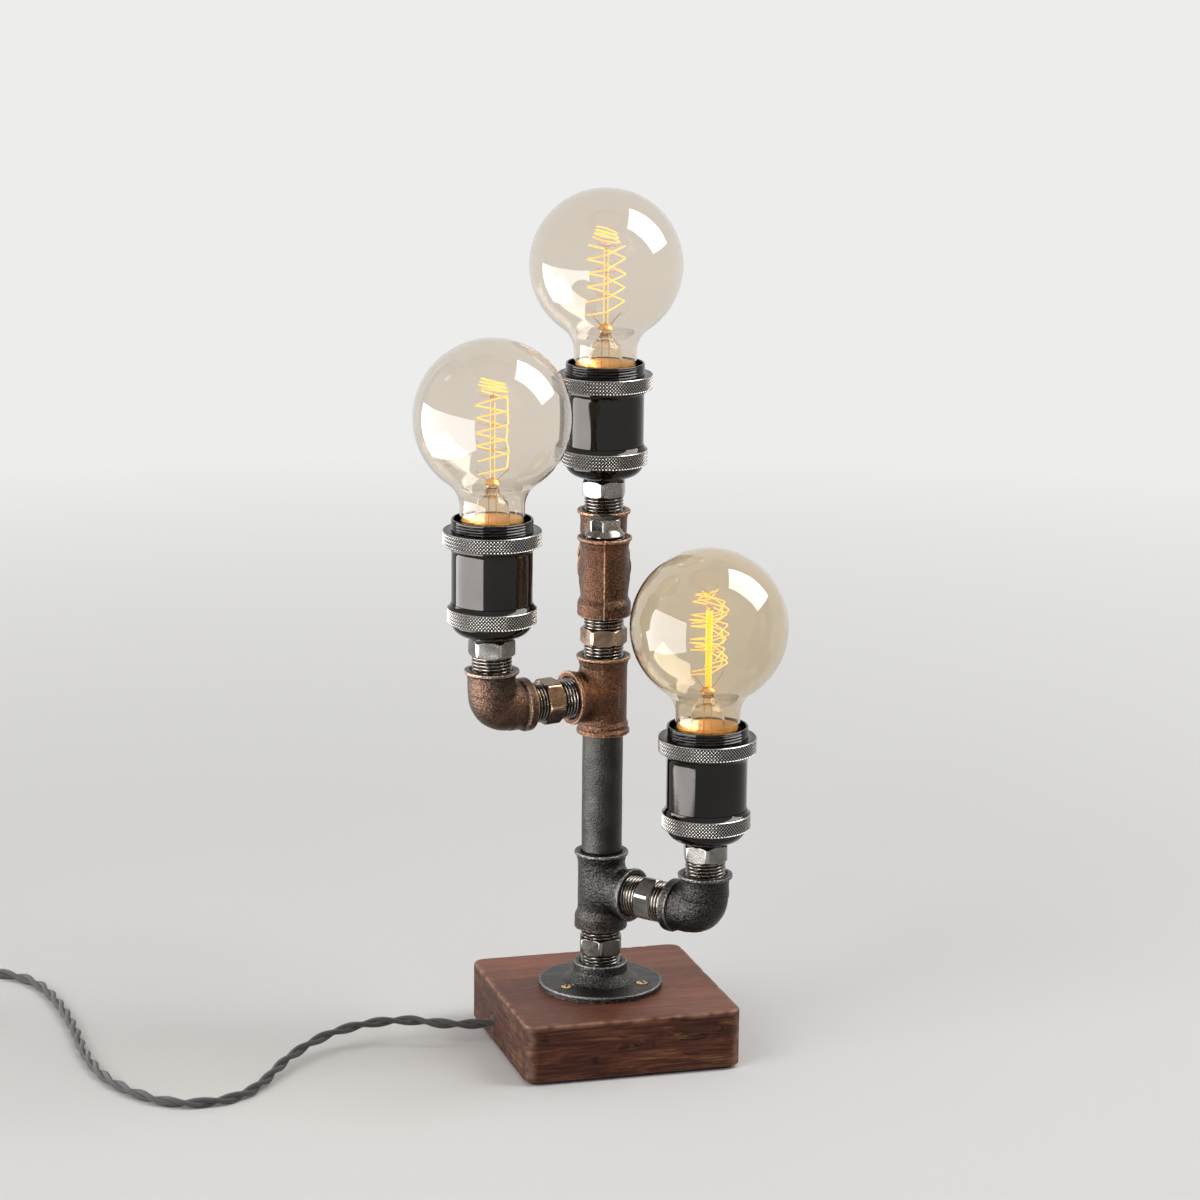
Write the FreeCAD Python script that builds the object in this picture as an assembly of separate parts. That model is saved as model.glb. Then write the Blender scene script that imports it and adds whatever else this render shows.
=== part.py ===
import FreeCAD, Part
import math
import os

from FreeCAD import Vector

# Industrial pipe table lamp: a square wooden block carries a column of half-inch pipe fittings, and three
# elbows on the column's tees hold upright E27 sockets with globe bulbs. Millimetres, +Z up. The origin is
# the middle of the underside, with the block's sides along X and Y. The column stands a little left of the
# middle, and each arm is built in its own frame: X along its branch from the column's axis, Z up from the
# branch's axis.

# ---------------------------------------------------------------- driving dimensions

# wooden base
BASE_SIDE = 117.0
BLOCK_HEIGHT = 30.5
BLOCK_CORNER_R = 7.0
BLOCK_TOP_EDGE_R = 1.2
BLOCK_BOTTOM_EDGE_R = 0.8
FELT_THICKNESS = 2.0
FELT_INSET = 3.0
POCKET_LENGTH = 50.0
POCKET_WIDTH = 36.0
POCKET_DEPTH = 15.0
POCKET_Y = 6.0
WIRE_WELL_R = 7.0
COLUMN_X = -2.5

# half-inch threads and hexagons
THREAD_R = 10.3
THREAD_CREST_RISE = 0.18
THREAD_DEPTH = 1.16
THREAD_PITCH = 1.814
THREAD_CLEARANCE = 0.05
THREAD_END_GAP = 0.4
THREAD_STANDOFF = 0.2
THREAD_LEAD = 1.0
THREAD_SHOULDER = 1.5
NIPPLE_WALL = 2.7
HEX_WALL = 0.6
HEX_LENGTH = 8.4
BRANCH_HEX_LENGTH = 9.4
HEX_CHAMFER = 0.9

# cast fittings
FITTING_REACH = 21.0
TEE_WALL = 2.1
TEE_BRANCH_WALL = 1.8
ELBOW_WALL = 1.9
ELBOW_BEND_ROOM = 0.6
RIM_WALL = 3.95
RIM_UNDERSIDE_WALL = 3.2
RIM_LENGTH = 4.4
TALL_BAND = 8.0
SHORT_BAND = 5.6
BAND_EDGE_R = 0.8

# column
FLANGE_R = 32.75
FLANGE_PLATE = 3.7
FLANGE_FLOOR = 3.7
FLANGE_HUB_WALL = 3.9
FLANGE_FILLET_R = 5.0
SCREW_CIRCLE_R = 23.3
SCREW_COUNT = 3
FIRST_SCREW_ANGLE = 85.0
LOWER_NIPPLE_GAP = 18.75
PIPE_GAP = 64.5
UPPER_NIPPLE_GAP = 21.25
PIPE_STEP = 0.35
PIPE_WALL = 2.65
PLUG_FLATS = 16.0
PLUG_HEAD = 5.2
PLUG_SHOULDER = 3.2
PLUG_THREAD_SHOWN = 1.2
PLUG_CONE_SHARE = 0.8

# wood screws in the flange
SCREW_R = 1.75
SCREW_HEAD_R = 3.5
SCREW_LENGTH = 16.0
SCREW_CONE = 2.0
SCREW_DOME = 0.7
SCREW_CLEARANCE = 0.06
SCREW_SLOT = 0.9
SCREW_SLOT_DEPTH = 1.2

# arms
ARM_REACH = 67.0
LOWER_AZIMUTH = 307.5
MIDDLE_AZIMUTH = 195.0
TOP_AZIMUTH = 74.5
RISER_THREAD = 7.8
STUB_R = 4.95
STUB_LENGTH = 7.0
STUB_BORE_R = 3.6
STUB_LEAD = 0.5

# hexagon turns about their own axes, degrees
FLANGE_NIPPLE_TURN = 254.0
UPPER_NIPPLE_TURN = 284.0
LOWER_RISER_TURN = 257.0
MIDDLE_RISER_TURN = 277.0
TOP_RISER_TURN = 249.0
LOWER_BRANCH_TURN = 8.0
MIDDLE_BRANCH_TURN = 24.0
TOP_BRANCH_TURN = 0.0
HEX_PLUG_TURN = 254.0

# socket cap, heights above the riser's hexagon
CAP_NECK_R = 11.0
CAP_NECK = 1.4
CAP_DOME_STEP = 2.05
CAP_DOME_TOP = 8.8
CAP_RING_STEP = 2.15
CAP_RING = 8.4
CAP_LIP_STEP = 1.0
CAP_LIP = 2.0
CAP_SPIGOT = 6.0
CAP_FLOOR = 7.5
CAP_WALL = 2.0

# socket shell, shade ring and contacts
BARREL_R = 20.9
SHELL_WALL = 1.0
SHELL_CLEARANCE = 0.05
BARREL_LENGTH = 25.8
FLARE_LENGTH = 4.5
FLARE_STEP = 1.7
COLLAR_STEP = 0.25
COLLAR_THREAD_DEPTH = 0.45
COLLAR_PITCH = 1.5
COLLAR_LENGTH = 13.8
SHADE_RING_WALL = 4.3
SHADE_RING_HEIGHT = 7.9
SHADE_RING_CLEARANCE = 0.08
SHADE_RING_SEAT_GAP = 0.1
KNURL_CHAMFER = 0.9
CORE_CLEARANCE = 0.3
CORE_FLOOR = 6.0
CORE_HEIGHT = 28.8
CONTACT_CLEARANCE = 0.35
CONTACT_WALL = 0.5
CONTACT_HEIGHT = 19.0
CONTACT_RAISE = 2.0
TONGUE_R = 3.5
TONGUE_HEIGHT = 2.5

# bulb: E27 cap and an 81 mm globe
BULB_R = 40.75
BULB_NECK_R = 16.8
BULB_NECK_ANGLE = 55.0
BULB_GLASS = 0.9
BULB_CENTRE_ABOVE_CAP = 78.25
BULB_CAP_R = 13.0
BULB_THREAD_DEPTH = 0.8
BULB_CAP_PITCH = 3.62
BULB_CAP_LENGTH = 20.0
BULB_CAP_WALL = 0.45
BULB_CAP_SKIRT = 4.0
BULB_TIP_HEIGHT = 3.0
BULB_TIP_INSET = 3.3
BULB_TIP_FIT = 0.08
BULB_CONTACT_R = 4.6
BULB_ABOVE_TONGUE = 0.3
BULB_SEAT_GAP = 0.1
BULB_FOOT_DEPTH = 8.0
BULB_SHOULDER = 6.0
BULB_LIP_GAP = 0.4
STEM_R = 4.2
STEM_TOP = 44.0
STEM_FOOT = 14.0
STEM_FLARE = 3.0
STEM_PINCH = 6.0
FILAMENT_R = 9.0
FILAMENT_LOW = 51.0
FILAMENT_HIGH = 101.0
FILAMENT_WIRE_R = 0.3
FILAMENT_STRANDS = 8

# wiring inside
HARNESS_R = 2.6
ARM_WIRE_R = 2.2
ARM_WIRE_BEND = 8.0
WIRE_GAP = 0.3
TERMINAL_LENGTH = 22.0
TERMINAL_WIDTH = 24.0
TERMINAL_HEIGHT = 10.0

# cord, in-line switch and plug
CORD_R = 2.75
CORD_EXIT_Y = 13.0
CORD_EXIT_Z = 11.5
CORD_CLEARANCE = 0.05
BUSHING_WALL = 1.85
BUSHING_LENGTH = 14.0
ARC_SHARE = 0.45
CORD_RUN = [(-79.0, 13.0, 11.5), (-103.0, 26.0, 13.5), (-140.0, 22.0, 12.5), (-170.0, 4.0, 6.5),
            (-191.0, -27.0, CORD_R), (-208.0, -44.0, CORD_R), (-232.0, -47.0, CORD_R),
            (-251.0, -34.0, CORD_R), (-268.0, 0.0, CORD_R), (-272.5, 42.0, CORD_R), (-271.0, 82.0, CORD_R),
            (-272.5, 128.0, CORD_R), (-279.0, 168.0, CORD_R), (-299.0, 190.0, CORD_R),
            (-326.0, 193.0, CORD_R), (-345.0, 174.0, 4.0)]
COIL_MEAN_R = 31.0
COIL_TURNS = 5.5
COIL_TURNS_WIDE = 3
COIL_LAYERS = 2
COIL_Y = 18.0
COIL_ENTRY = 10.0
SWITCH_X = -347.0
SWITCH_Y = 106.0
SWITCH_LENGTH = 62.0
SWITCH_WIDTH = 26.0
SWITCH_HEIGHT = 18.0
SWITCH_CORD_Z = 8.0
SWITCH_EDGE_R = 5.0
SWITCH_TOP_EDGE_R = 2.5
SWITCH_BOTTOM_EDGE_R = 0.8
SWITCH_SLEEVE = 8.0
SWITCH_SLEEVE_WALL = 2.6
SWITCH_SLEEVE_END_WALL = 1.2
SWITCH_LEAD = 12.0
ROCKER_LENGTH = 20.0
ROCKER_WIDTH = 11.0
ROCKER_PIVOT_Z = 14.5
ROCKER_PIN_R = 1.2
ROCKER_PIN_FIT = 0.06
ROCKER_DROP = 4.5
ROCKER_FOOT = 5.0
ROCKER_FOOT_ROOM = 2.0
ROCKER_RISE = 5.2
ROCKER_DISH = 1.0
ROCKER_SKIRT = 1.0
ROCKER_TILT = 8.0
ROCKER_TAPER = 1.0
ROCKER_GAP = 0.5
PLUG_TAIL = 36.0
PLUG_WIDTH = 35.3
PLUG_THICKNESS = 13.7
PLUG_BODY = 25.0
PLUG_SLOPE = 11.0
PLUG_RELIEF = 20.0
PLUG_RELIEF_WALL = 1.85
PLUG_RELIEF_END_WALL = 0.9
PLUG_COLLAR_WIDE = 4.0
PLUG_COLLAR_THICK = 1.0
PIN_R = 2.0
PIN_LENGTH = 19.0
PIN_TIP_EDGE_R = 1.2
PIN_SPACING = 18.6
PIN_ROOT = 4.0
PIN_ROOT_R = 2.6

# ---------------------------------------------------------------- places that follow from the dimensions

X_AXIS = Vector(1, 0, 0)
Y_AXIS = Vector(0, 1, 0)
Z_AXIS = Vector(0, 0, 1)
ORIGIN = Vector(0, 0, 0)

THREAD_CREST_R = THREAD_R + THREAD_CREST_RISE
BORE_R = THREAD_R + THREAD_CLEARANCE
FITTING_BORE_R = THREAD_R - THREAD_SHOULDER
HEX_FLATS = 2 * (THREAD_R + HEX_WALL)
NIPPLE_BORE_R = THREAD_R - NIPPLE_WALL
TEE_BODY_R = THREAD_R + TEE_WALL
TEE_BRANCH_R = THREAD_R + TEE_BRANCH_WALL
ELBOW_BODY_R = THREAD_R + ELBOW_WALL
ELBOW_BEND_R = ELBOW_BODY_R + ELBOW_BEND_ROOM
RIM_R = THREAD_R + RIM_WALL
RIM_UNDERSIDE_R = THREAD_R + RIM_UNDERSIDE_WALL
PIPE_R = THREAD_R + PIPE_STEP
PIPE_BORE_R = PIPE_R - PIPE_WALL
FLANGE_HUB_R = THREAD_R + FLANGE_HUB_WALL
THREAD_ENGAGED = FITTING_REACH - THREAD_R - THREAD_END_GAP
FLANGE_HEIGHT = FLANGE_FLOOR + THREAD_ENGAGED
BLOCK_TOP = FELT_THICKNESS + BLOCK_HEIGHT
POCKET_TOP = FELT_THICKNESS + POCKET_DEPTH
FLANGE_TOP = BLOCK_TOP + FLANGE_HEIGHT
LOWER_Z = FLANGE_TOP + LOWER_NIPPLE_GAP + FITTING_REACH
MIDDLE_Z = LOWER_Z + 2 * FITTING_REACH + PIPE_GAP
TOP_Z = MIDDLE_Z + 2 * FITTING_REACH + UPPER_NIPPLE_GAP
BRANCH_GAP = ARM_REACH - 2 * FITTING_REACH

RISER_TOP = FITTING_REACH + RISER_THREAD + HEX_LENGTH
CAP_RING_LOW = RISER_TOP + CAP_DOME_TOP
CAP_RING_HIGH = CAP_RING_LOW + CAP_RING
BARREL_LOW = CAP_RING_HIGH + CAP_LIP
SPIGOT_TOP = BARREL_LOW + CAP_SPIGOT
SHELL_BORE_R = BARREL_R - SHELL_WALL
CAP_LIP_R = BARREL_R + CAP_LIP_STEP
CAP_RING_R = BARREL_R + CAP_RING_STEP
CAP_DOME_R = CAP_RING_R - CAP_DOME_STEP
FLARE_R = BARREL_R + FLARE_STEP
COLLAR_R = BARREL_R + COLLAR_STEP
SHADE_RING_R = COLLAR_R + SHADE_RING_WALL
BULB_CAP_ROOT_R = BULB_CAP_R - BULB_THREAD_DEPTH
BULB_TIP_R = BULB_CAP_ROOT_R - BULB_TIP_INSET
CONTACT_R = BULB_CAP_R + CONTACT_CLEARANCE
FLARE_LOW = BARREL_LOW + BARREL_LENGTH
COLLAR_LOW = FLARE_LOW + FLARE_LENGTH
COLLAR_HIGH = COLLAR_LOW + COLLAR_LENGTH
CORE_R = SHELL_BORE_R - CORE_CLEARANCE
CORE_BORE_R = CONTACT_R + CONTACT_WALL + CORE_CLEARANCE
CORE_FLOOR_TOP = SPIGOT_TOP + CORE_FLOOR
CORE_TOP = SPIGOT_TOP + CORE_HEIGHT
TONGUE_TOP = CORE_FLOOR_TOP + TONGUE_HEIGHT
BULB_TIP_LOW = TONGUE_TOP + BULB_ABOVE_TONGUE
BULB_CAP_LOW = BULB_TIP_LOW + BULB_TIP_HEIGHT
BULB_CAP_HIGH = BULB_CAP_LOW + BULB_CAP_LENGTH
BULB_CENTRE = BULB_CAP_LOW + BULB_CENTRE_ABOVE_CAP

BUSHING_R = CORD_R + BUSHING_WALL
SWITCH_SLEEVE_R = CORD_R + SWITCH_SLEEVE_WALL
SWITCH_SLEEVE_END_R = CORD_R + SWITCH_SLEEVE_END_WALL
PLUG_RELIEF_R = CORD_R + PLUG_RELIEF_WALL
PLUG_RELIEF_END_R = CORD_R + PLUG_RELIEF_END_WALL
PLUG_COLLAR_WIDTH = 2 * PLUG_RELIEF_R + PLUG_COLLAR_WIDE
PLUG_COLLAR_THICKNESS = 2 * PLUG_RELIEF_R + PLUG_COLLAR_THICK
CORD_EXIT = (-BASE_SIDE / 2, CORD_EXIT_Y, CORD_EXIT_Z)
SWITCH_BACK = SWITCH_Y + SWITCH_LENGTH / 2
SWITCH_FRONT = SWITCH_Y - SWITCH_LENGTH / 2
COIL_OUTER_TURN_R = COIL_MEAN_R + (COIL_TURNS_WIDE - 1) * CORD_R
COIL_X = SWITCH_X - COIL_OUTER_TURN_R
COIL_HEIGHT = 2 * CORD_R * COIL_LAYERS
TAIL_X = COIL_X - COIL_OUTER_TURN_R
PLUG_CENTRE_Z = PLUG_THICKNESS / 2
PLUG_REAR = COIL_Y + PLUG_TAIL


# ---------------------------------------------------------------- drawing helpers

def face_from(points):
    """Flat XZ face. A point is (x, z), or (x, z, mid_x, mid_z) where an arc through the middle ends there."""
    edges = []
    start = Vector(points[0][0], 0, points[0][1])
    for point in points[1:] + [points[0][:2]]:
        end = Vector(point[0], 0, point[1])
        if len(point) == 4:
            edges.append(Part.Arc(start, Vector(point[2], 0, point[3]), end).toShape())
        elif (end - start).Length > 1e-6:
            edges.append(Part.LineSegment(start, end).toShape())
        start = end
    return Part.Face(Part.Wire(edges))


def lathe(points):
    solid = face_from(points).revolve(ORIGIN, Z_AXIS, 360)
    return solid if solid.Volume > 0 else solid.reversed()


def rod(radius, low, high, x=0.0, y=0.0):
    return Part.makeCylinder(radius, high - low, Vector(x, y, low), Z_AXIS)


def ring(inner, outer, low, high):
    return lathe([(inner, low), (outer, low), (outer, high), (inner, high)])


def box(length, width, height, x, y, z):
    """Box centred on x and y, standing on z."""
    return Part.makeBox(length, width, height, Vector(x - length / 2, y - width / 2, z))


def rounded_box(length, width, height, x, y, z, corner):
    solid = box(length, width, height, x, y, z)
    upright = [edge for edge in solid.Edges if abs(edge.tangentAt(edge.FirstParameter).z) > 0.99]
    return solid.makeFillet(corner, upright)


def edges_at(shape, z):
    flat = [edge for edge in shape.Edges if edge.BoundBox.ZLength < 1e-3]
    return [edge for edge in flat if abs(edge.BoundBox.ZMin - z) < 1e-3]


def joined(shapes):
    return shapes[0].fuse(shapes[1:]).removeSplitter()


def moved(shape, x=0.0, y=0.0, z=0.0):
    return shape.translated(Vector(x, y, z))


def turned(shape, axis, degrees, centre=ORIGIN):
    return shape.rotated(centre, axis, degrees)


def along_x(shape):
    """Swings a piece drawn along +Z so that it lies along +X."""
    return turned(shape, Y_AXIS, 90)


def hexagon(flats, low, high, turn, chamfer):
    """Hexagonal prism with turned ends; its first corner lies at turn degrees from +X."""
    corner_r = flats / math.sqrt(3)
    corners = []
    for index in range(7):
        angle = math.radians(turn + 60 * index)
        corners.append(Vector(corner_r * math.cos(angle), corner_r * math.sin(angle), low))
    prism = Part.Face(Part.makePolygon(corners)).extrude(Vector(0, 0, high - low))
    end_r = corner_r - 2 * chamfer
    turning = lathe([(0, low), (end_r, low), (corner_r + 0.1, low + chamfer),
                     (corner_r + 0.1, high - chamfer), (end_r, high), (0, high)])
    return prism.common(turning)


def ridges(crest, depth, pitch, low, high):
    """Outline points of a thread drawn as rings between two heights, each ridge rising from its root."""
    count = max(1, round((high - low) / pitch))
    step = (high - low) / count
    points = []
    for index in range(count):
        foot = low + index * step
        points += [(crest - depth, foot), (crest, foot + 0.42 * step), (crest, foot + 0.58 * step)]
    return points + [(crest - depth, high)]


# ---------------------------------------------------------------- pipe fittings

def hex_nipple(lower_thread, hex_length, upper_thread, turn):
    """Double nipple on Z with the hexagon's underside at z = 0, and a thread that shows on both sides."""
    low = -lower_thread - THREAD_ENGAGED
    high = hex_length + upper_thread + THREAD_ENGAGED
    below = -lower_thread + THREAD_STANDOFF
    above = hex_length + upper_thread - THREAD_STANDOFF
    tip_r = THREAD_R - THREAD_LEAD
    outline = [(NIPPLE_BORE_R, low), (tip_r, low), (THREAD_R, low + THREAD_LEAD), (THREAD_R, below)]
    outline += ridges(THREAD_CREST_R, THREAD_DEPTH, THREAD_PITCH, below, 0)
    outline += ridges(THREAD_CREST_R, THREAD_DEPTH, THREAD_PITCH, hex_length, above)
    outline += [(THREAD_R, above), (THREAD_R, high - THREAD_LEAD), (tip_r, high), (NIPPLE_BORE_R, high)]
    hexagon_part = hexagon(HEX_FLATS, 0, hex_length, turn, HEX_CHAMFER)
    return joined([lathe(outline), hexagon_part.cut(rod(NIPPLE_BORE_R, 0, hex_length))])


def rim(face, inward):
    """Flared lip at a fitting's mouth: widest at the face, narrower one rim length inward (-1 or +1)."""
    back = face + inward * RIM_LENGTH
    return lathe([(0, face), (RIM_R, face), (RIM_UNDERSIDE_R, back), (0, back)])


def band(low, height):
    """Straight reinforcing band with softened edges."""
    high = low + height
    edge = BAND_EDGE_R
    return lathe([(0, low), (RIM_R - edge, low), (RIM_R, low + edge), (RIM_R, high - edge),
                  (RIM_R - edge, high), (0, high)])


def mouth(face, inward):
    """What a mouth takes out of a fitting: the threaded bore, one engaged length deep."""
    end = face + inward * (THREAD_ENGAGED + THREAD_END_GAP / 2)
    return rod(BORE_R, min(face, end), max(face, end))


def tee(lower_band):
    """Tee on Z about its centre, with its branch along +X."""
    reach = FITTING_REACH
    run = joined([rod(TEE_BODY_R, -reach + 1, reach - 1), rim(reach, -1), band(-reach, lower_band)])
    branch = joined([rod(TEE_BRANCH_R, 0, reach - 1), rim(reach, -1)])
    body = joined([run, along_x(branch)])
    hollow = [rod(FITTING_BORE_R, -reach, reach), mouth(reach, -1), mouth(-reach, 1),
              along_x(rod(FITTING_BORE_R, 0, reach)), along_x(mouth(reach, -1))]
    return body.cut(hollow)


def bend(radius):
    """Quarter bend of a round bar that enters along +X and leaves along +Z at the riser's axis."""
    start = Vector(ARM_REACH - ELBOW_BEND_R, 0, 0)
    section = Part.Face(Part.Wire(Part.makeCircle(radius, start, X_AXIS)))
    centre = Vector(ARM_REACH - ELBOW_BEND_R, 0, ELBOW_BEND_R)
    return section.revolve(centre, Y_AXIS, -90)


def elbow():
    """Elbow from the branch's end up to the riser, in the arm's frame."""
    face = ARM_REACH - FITTING_REACH
    turn_x = ARM_REACH - ELBOW_BEND_R
    level = along_x(joined([rod(ELBOW_BODY_R, face + 1, turn_x), rim(face, 1)]))
    upright = joined([rod(ELBOW_BODY_R, ELBOW_BEND_R, FITTING_REACH - 1), rim(FITTING_REACH, -1)])
    body = joined([level, bend(ELBOW_BODY_R), moved(upright, x=ARM_REACH)])
    hollow = [along_x(rod(FITTING_BORE_R, face, turn_x)), bend(FITTING_BORE_R),
              rod(FITTING_BORE_R, ELBOW_BEND_R, FITTING_REACH, x=ARM_REACH),
              along_x(mouth(face, 1)), moved(mouth(FITTING_REACH, -1), x=ARM_REACH)]
    return body.cut(hollow)


def riser_nipple(turn):
    """Half-inch nipple whose upper end is the slim stub that the socket screws on, on the riser's axis."""
    low = FITTING_REACH - THREAD_ENGAGED
    shown_low = FITTING_REACH + THREAD_STANDOFF
    hex_low = FITTING_REACH + RISER_THREAD
    top = RISER_TOP + STUB_LENGTH
    outline = [(STUB_BORE_R, low), (THREAD_R - THREAD_LEAD, low), (THREAD_R, low + THREAD_LEAD),
               (THREAD_R, shown_low)]
    outline += ridges(THREAD_CREST_R, THREAD_DEPTH, THREAD_PITCH, shown_low, hex_low)
    outline += [(STUB_R, hex_low), (STUB_R, top - STUB_LEAD), (STUB_R - STUB_LEAD, top), (STUB_BORE_R, top)]
    hexagon_part = hexagon(HEX_FLATS, hex_low, RISER_TOP, turn, HEX_CHAMFER)
    return joined([lathe(outline), hexagon_part.cut(rod(STUB_BORE_R, hex_low, RISER_TOP))])


# ---------------------------------------------------------------- column

def screw_places():
    for index in range(SCREW_COUNT):
        angle = math.radians(FIRST_SCREW_ANGLE + 360 / SCREW_COUNT * index)
        yield COLUMN_X + SCREW_CIRCLE_R * math.cos(angle), SCREW_CIRCLE_R * math.sin(angle)


def floor_flange():
    plate_top = BLOCK_TOP + FLANGE_PLATE
    fillet_top = plate_top + FLANGE_FILLET_R
    fillet_foot = FLANGE_HUB_R + FLANGE_FILLET_R
    middle = FLANGE_FILLET_R * (1 - math.sqrt(0.5))
    outline = [(BORE_R, BLOCK_TOP), (FLANGE_R - 0.5, BLOCK_TOP), (FLANGE_R, BLOCK_TOP + 0.5),
               (FLANGE_R, plate_top - 0.7), (FLANGE_R - 0.7, plate_top), (fillet_foot, plate_top),
               (FLANGE_HUB_R, fillet_top, FLANGE_HUB_R + middle, plate_top + middle),
               (FLANGE_HUB_R, FLANGE_TOP - 0.8), (FLANGE_HUB_R - 0.8, FLANGE_TOP), (BORE_R, FLANGE_TOP)]
    flange = moved(lathe(outline), x=COLUMN_X)
    seat_low = plate_top - SCREW_CONE
    gap = SCREW_CLEARANCE
    for x, y in screw_places():
        hole = rod(SCREW_R + 0.3, BLOCK_TOP, plate_top, x, y)
        seat = Part.makeCone(SCREW_R + gap, SCREW_HEAD_R + gap, SCREW_CONE, Vector(x, y, seat_low), Z_AXIS)
        flange = flange.cut([hole, seat])
    return flange


def wood_screw():
    """Raised countersunk wood screw with a cross recess, its head's rim at z = 0 and its point below."""
    shank_low = -SCREW_LENGTH
    outline = [(0, shank_low), (SCREW_R, shank_low + 3), (SCREW_R, -SCREW_CONE), (SCREW_HEAD_R, 0),
               (0, SCREW_DOME, SCREW_HEAD_R * 0.55, SCREW_DOME * 0.72)]
    screw = lathe(outline)
    slot_z = SCREW_DOME - SCREW_SLOT_DEPTH
    for length, width in ((3.8, SCREW_SLOT), (SCREW_SLOT, 3.8)):
        screw = screw.cut(box(length, width, SCREW_SLOT_DEPTH + 1, 0, 0, slot_z))
    return screw


def flange_screws():
    head_z = BLOCK_TOP + FLANGE_PLATE
    screws = []
    for index, (x, y) in enumerate(screw_places()):
        screws.append(moved(turned(wood_screw(), Z_AXIS, 25 + 40 * index), x, y, head_z))
    return Part.makeCompound(screws)


def column_nipple(low, gap, turn):
    thread = (gap - HEX_LENGTH) / 2
    nipple = hex_nipple(thread, HEX_LENGTH, thread, turn)
    return moved(nipple, COLUMN_X, 0, low + thread)


def column_pipe():
    """Plain pipe between the lower and the middle tee, with its turned-down threads inside them."""
    low = LOWER_Z + FITTING_REACH
    high = low + PIPE_GAP
    outline = [(PIPE_BORE_R, low - THREAD_ENGAGED), (THREAD_R, low - THREAD_ENGAGED),
               (THREAD_R, low + THREAD_STANDOFF), (PIPE_R, low + 2 * THREAD_STANDOFF),
               (PIPE_R, high - 2 * THREAD_STANDOFF), (THREAD_R, high - THREAD_STANDOFF),
               (THREAD_R, high + THREAD_ENGAGED), (PIPE_BORE_R, high + THREAD_ENGAGED)]
    return moved(lathe(outline), x=COLUMN_X)


def hex_plug():
    """Plug in the top tee: a hexagon head on a coned shoulder, with a little thread left to see."""
    face = TOP_Z + FITTING_REACH
    shoulder = face + PLUG_THREAD_SHOWN
    head = shoulder + PLUG_SHOULDER
    top = head + PLUG_HEAD
    corner_r = PLUG_FLATS / math.sqrt(3)
    low = face - THREAD_ENGAGED
    thread = lathe([(0, low), (THREAD_R - THREAD_LEAD, low), (THREAD_R, low + THREAD_LEAD), (THREAD_R, face),
                    (THREAD_CREST_R, shoulder), (0, shoulder)])
    hexagon_part = hexagon(PLUG_FLATS, shoulder, top, HEX_PLUG_TURN, HEX_CHAMFER)
    cone = lathe([(0, shoulder), (THREAD_CREST_R, shoulder), (corner_r * PLUG_CONE_SHARE, head), (0, head)])
    return moved(joined([thread, hexagon_part, cone]), x=COLUMN_X)


# ---------------------------------------------------------------- sockets

def knurled(inner, outer, low, high):
    """Ring that carries a knurl, with chamfered edges."""
    chamfer = KNURL_CHAMFER
    return lathe([(inner, low), (outer - chamfer, low), (outer, low + chamfer), (outer, high - chamfer),
                  (outer - chamfer, high), (inner, high)])


def socket_cap():
    """Turned base of the socket: neck, dome, knurled ring, lip, and the spigot inside the shell."""
    dome_low = RISER_TOP + CAP_NECK
    rise = CAP_RING_LOW - dome_low
    run = CAP_DOME_R - CAP_NECK_R
    middle = math.sqrt(0.5)
    spigot_r = SHELL_BORE_R - SHELL_CLEARANCE
    chamfer = KNURL_CHAMFER
    inside_r = spigot_r - CAP_WALL
    floor = RISER_TOP + CAP_FLOOR
    outline = [(STUB_R + SHELL_CLEARANCE, RISER_TOP), (CAP_NECK_R, RISER_TOP), (CAP_NECK_R, dome_low),
               (CAP_DOME_R, CAP_RING_LOW, CAP_NECK_R + run * middle, CAP_RING_LOW - rise * middle),
               (CAP_RING_R - chamfer, CAP_RING_LOW), (CAP_RING_R, CAP_RING_LOW + chamfer),
               (CAP_RING_R, CAP_RING_HIGH - chamfer), (CAP_RING_R - chamfer, CAP_RING_HIGH),
               (CAP_LIP_R, CAP_RING_HIGH), (CAP_LIP_R, BARREL_LOW - 0.8), (CAP_LIP_R - 0.8, BARREL_LOW),
               (spigot_r, BARREL_LOW), (spigot_r, SPIGOT_TOP), (inside_r, SPIGOT_TOP),
               (inside_r, floor + 3), (inside_r - 3, floor), (STUB_R + SHELL_CLEARANCE, floor)]
    return moved(lathe(outline), x=ARM_REACH)


def socket_shell():
    """Barrel that flares to the shoulder under the shade ring, with the threaded collar above it."""
    cove = (FLARE_R + BARREL_R) / 2 - 0.25
    outline = [(SHELL_BORE_R, BARREL_LOW), (BARREL_R, BARREL_LOW), (BARREL_R, FLARE_LOW),
               (FLARE_R, COLLAR_LOW - 1.2, cove, FLARE_LOW + FLARE_LENGTH * 0.45), (FLARE_R, COLLAR_LOW)]
    outline += ridges(COLLAR_R, COLLAR_THREAD_DEPTH, COLLAR_PITCH, COLLAR_LOW, COLLAR_HIGH)
    outline += [(SHELL_BORE_R, COLLAR_HIGH)]
    return moved(lathe(outline), x=ARM_REACH)


def shade_ring():
    low = COLLAR_LOW + SHADE_RING_SEAT_GAP
    band_part = knurled(COLLAR_R + SHADE_RING_CLEARANCE, SHADE_RING_R, low, low + SHADE_RING_HEIGHT)
    return moved(band_part, x=ARM_REACH)


def socket_core():
    """Ceramic cup that stands on the cap's spigot and holds the contacts."""
    outline = [(HARNESS_R, SPIGOT_TOP), (CORE_R, SPIGOT_TOP), (CORE_R, CORE_TOP), (CORE_BORE_R, CORE_TOP),
               (CORE_BORE_R, CORE_FLOOR_TOP), (HARNESS_R, CORE_FLOOR_TOP)]
    return moved(lathe(outline), x=ARM_REACH)


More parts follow.
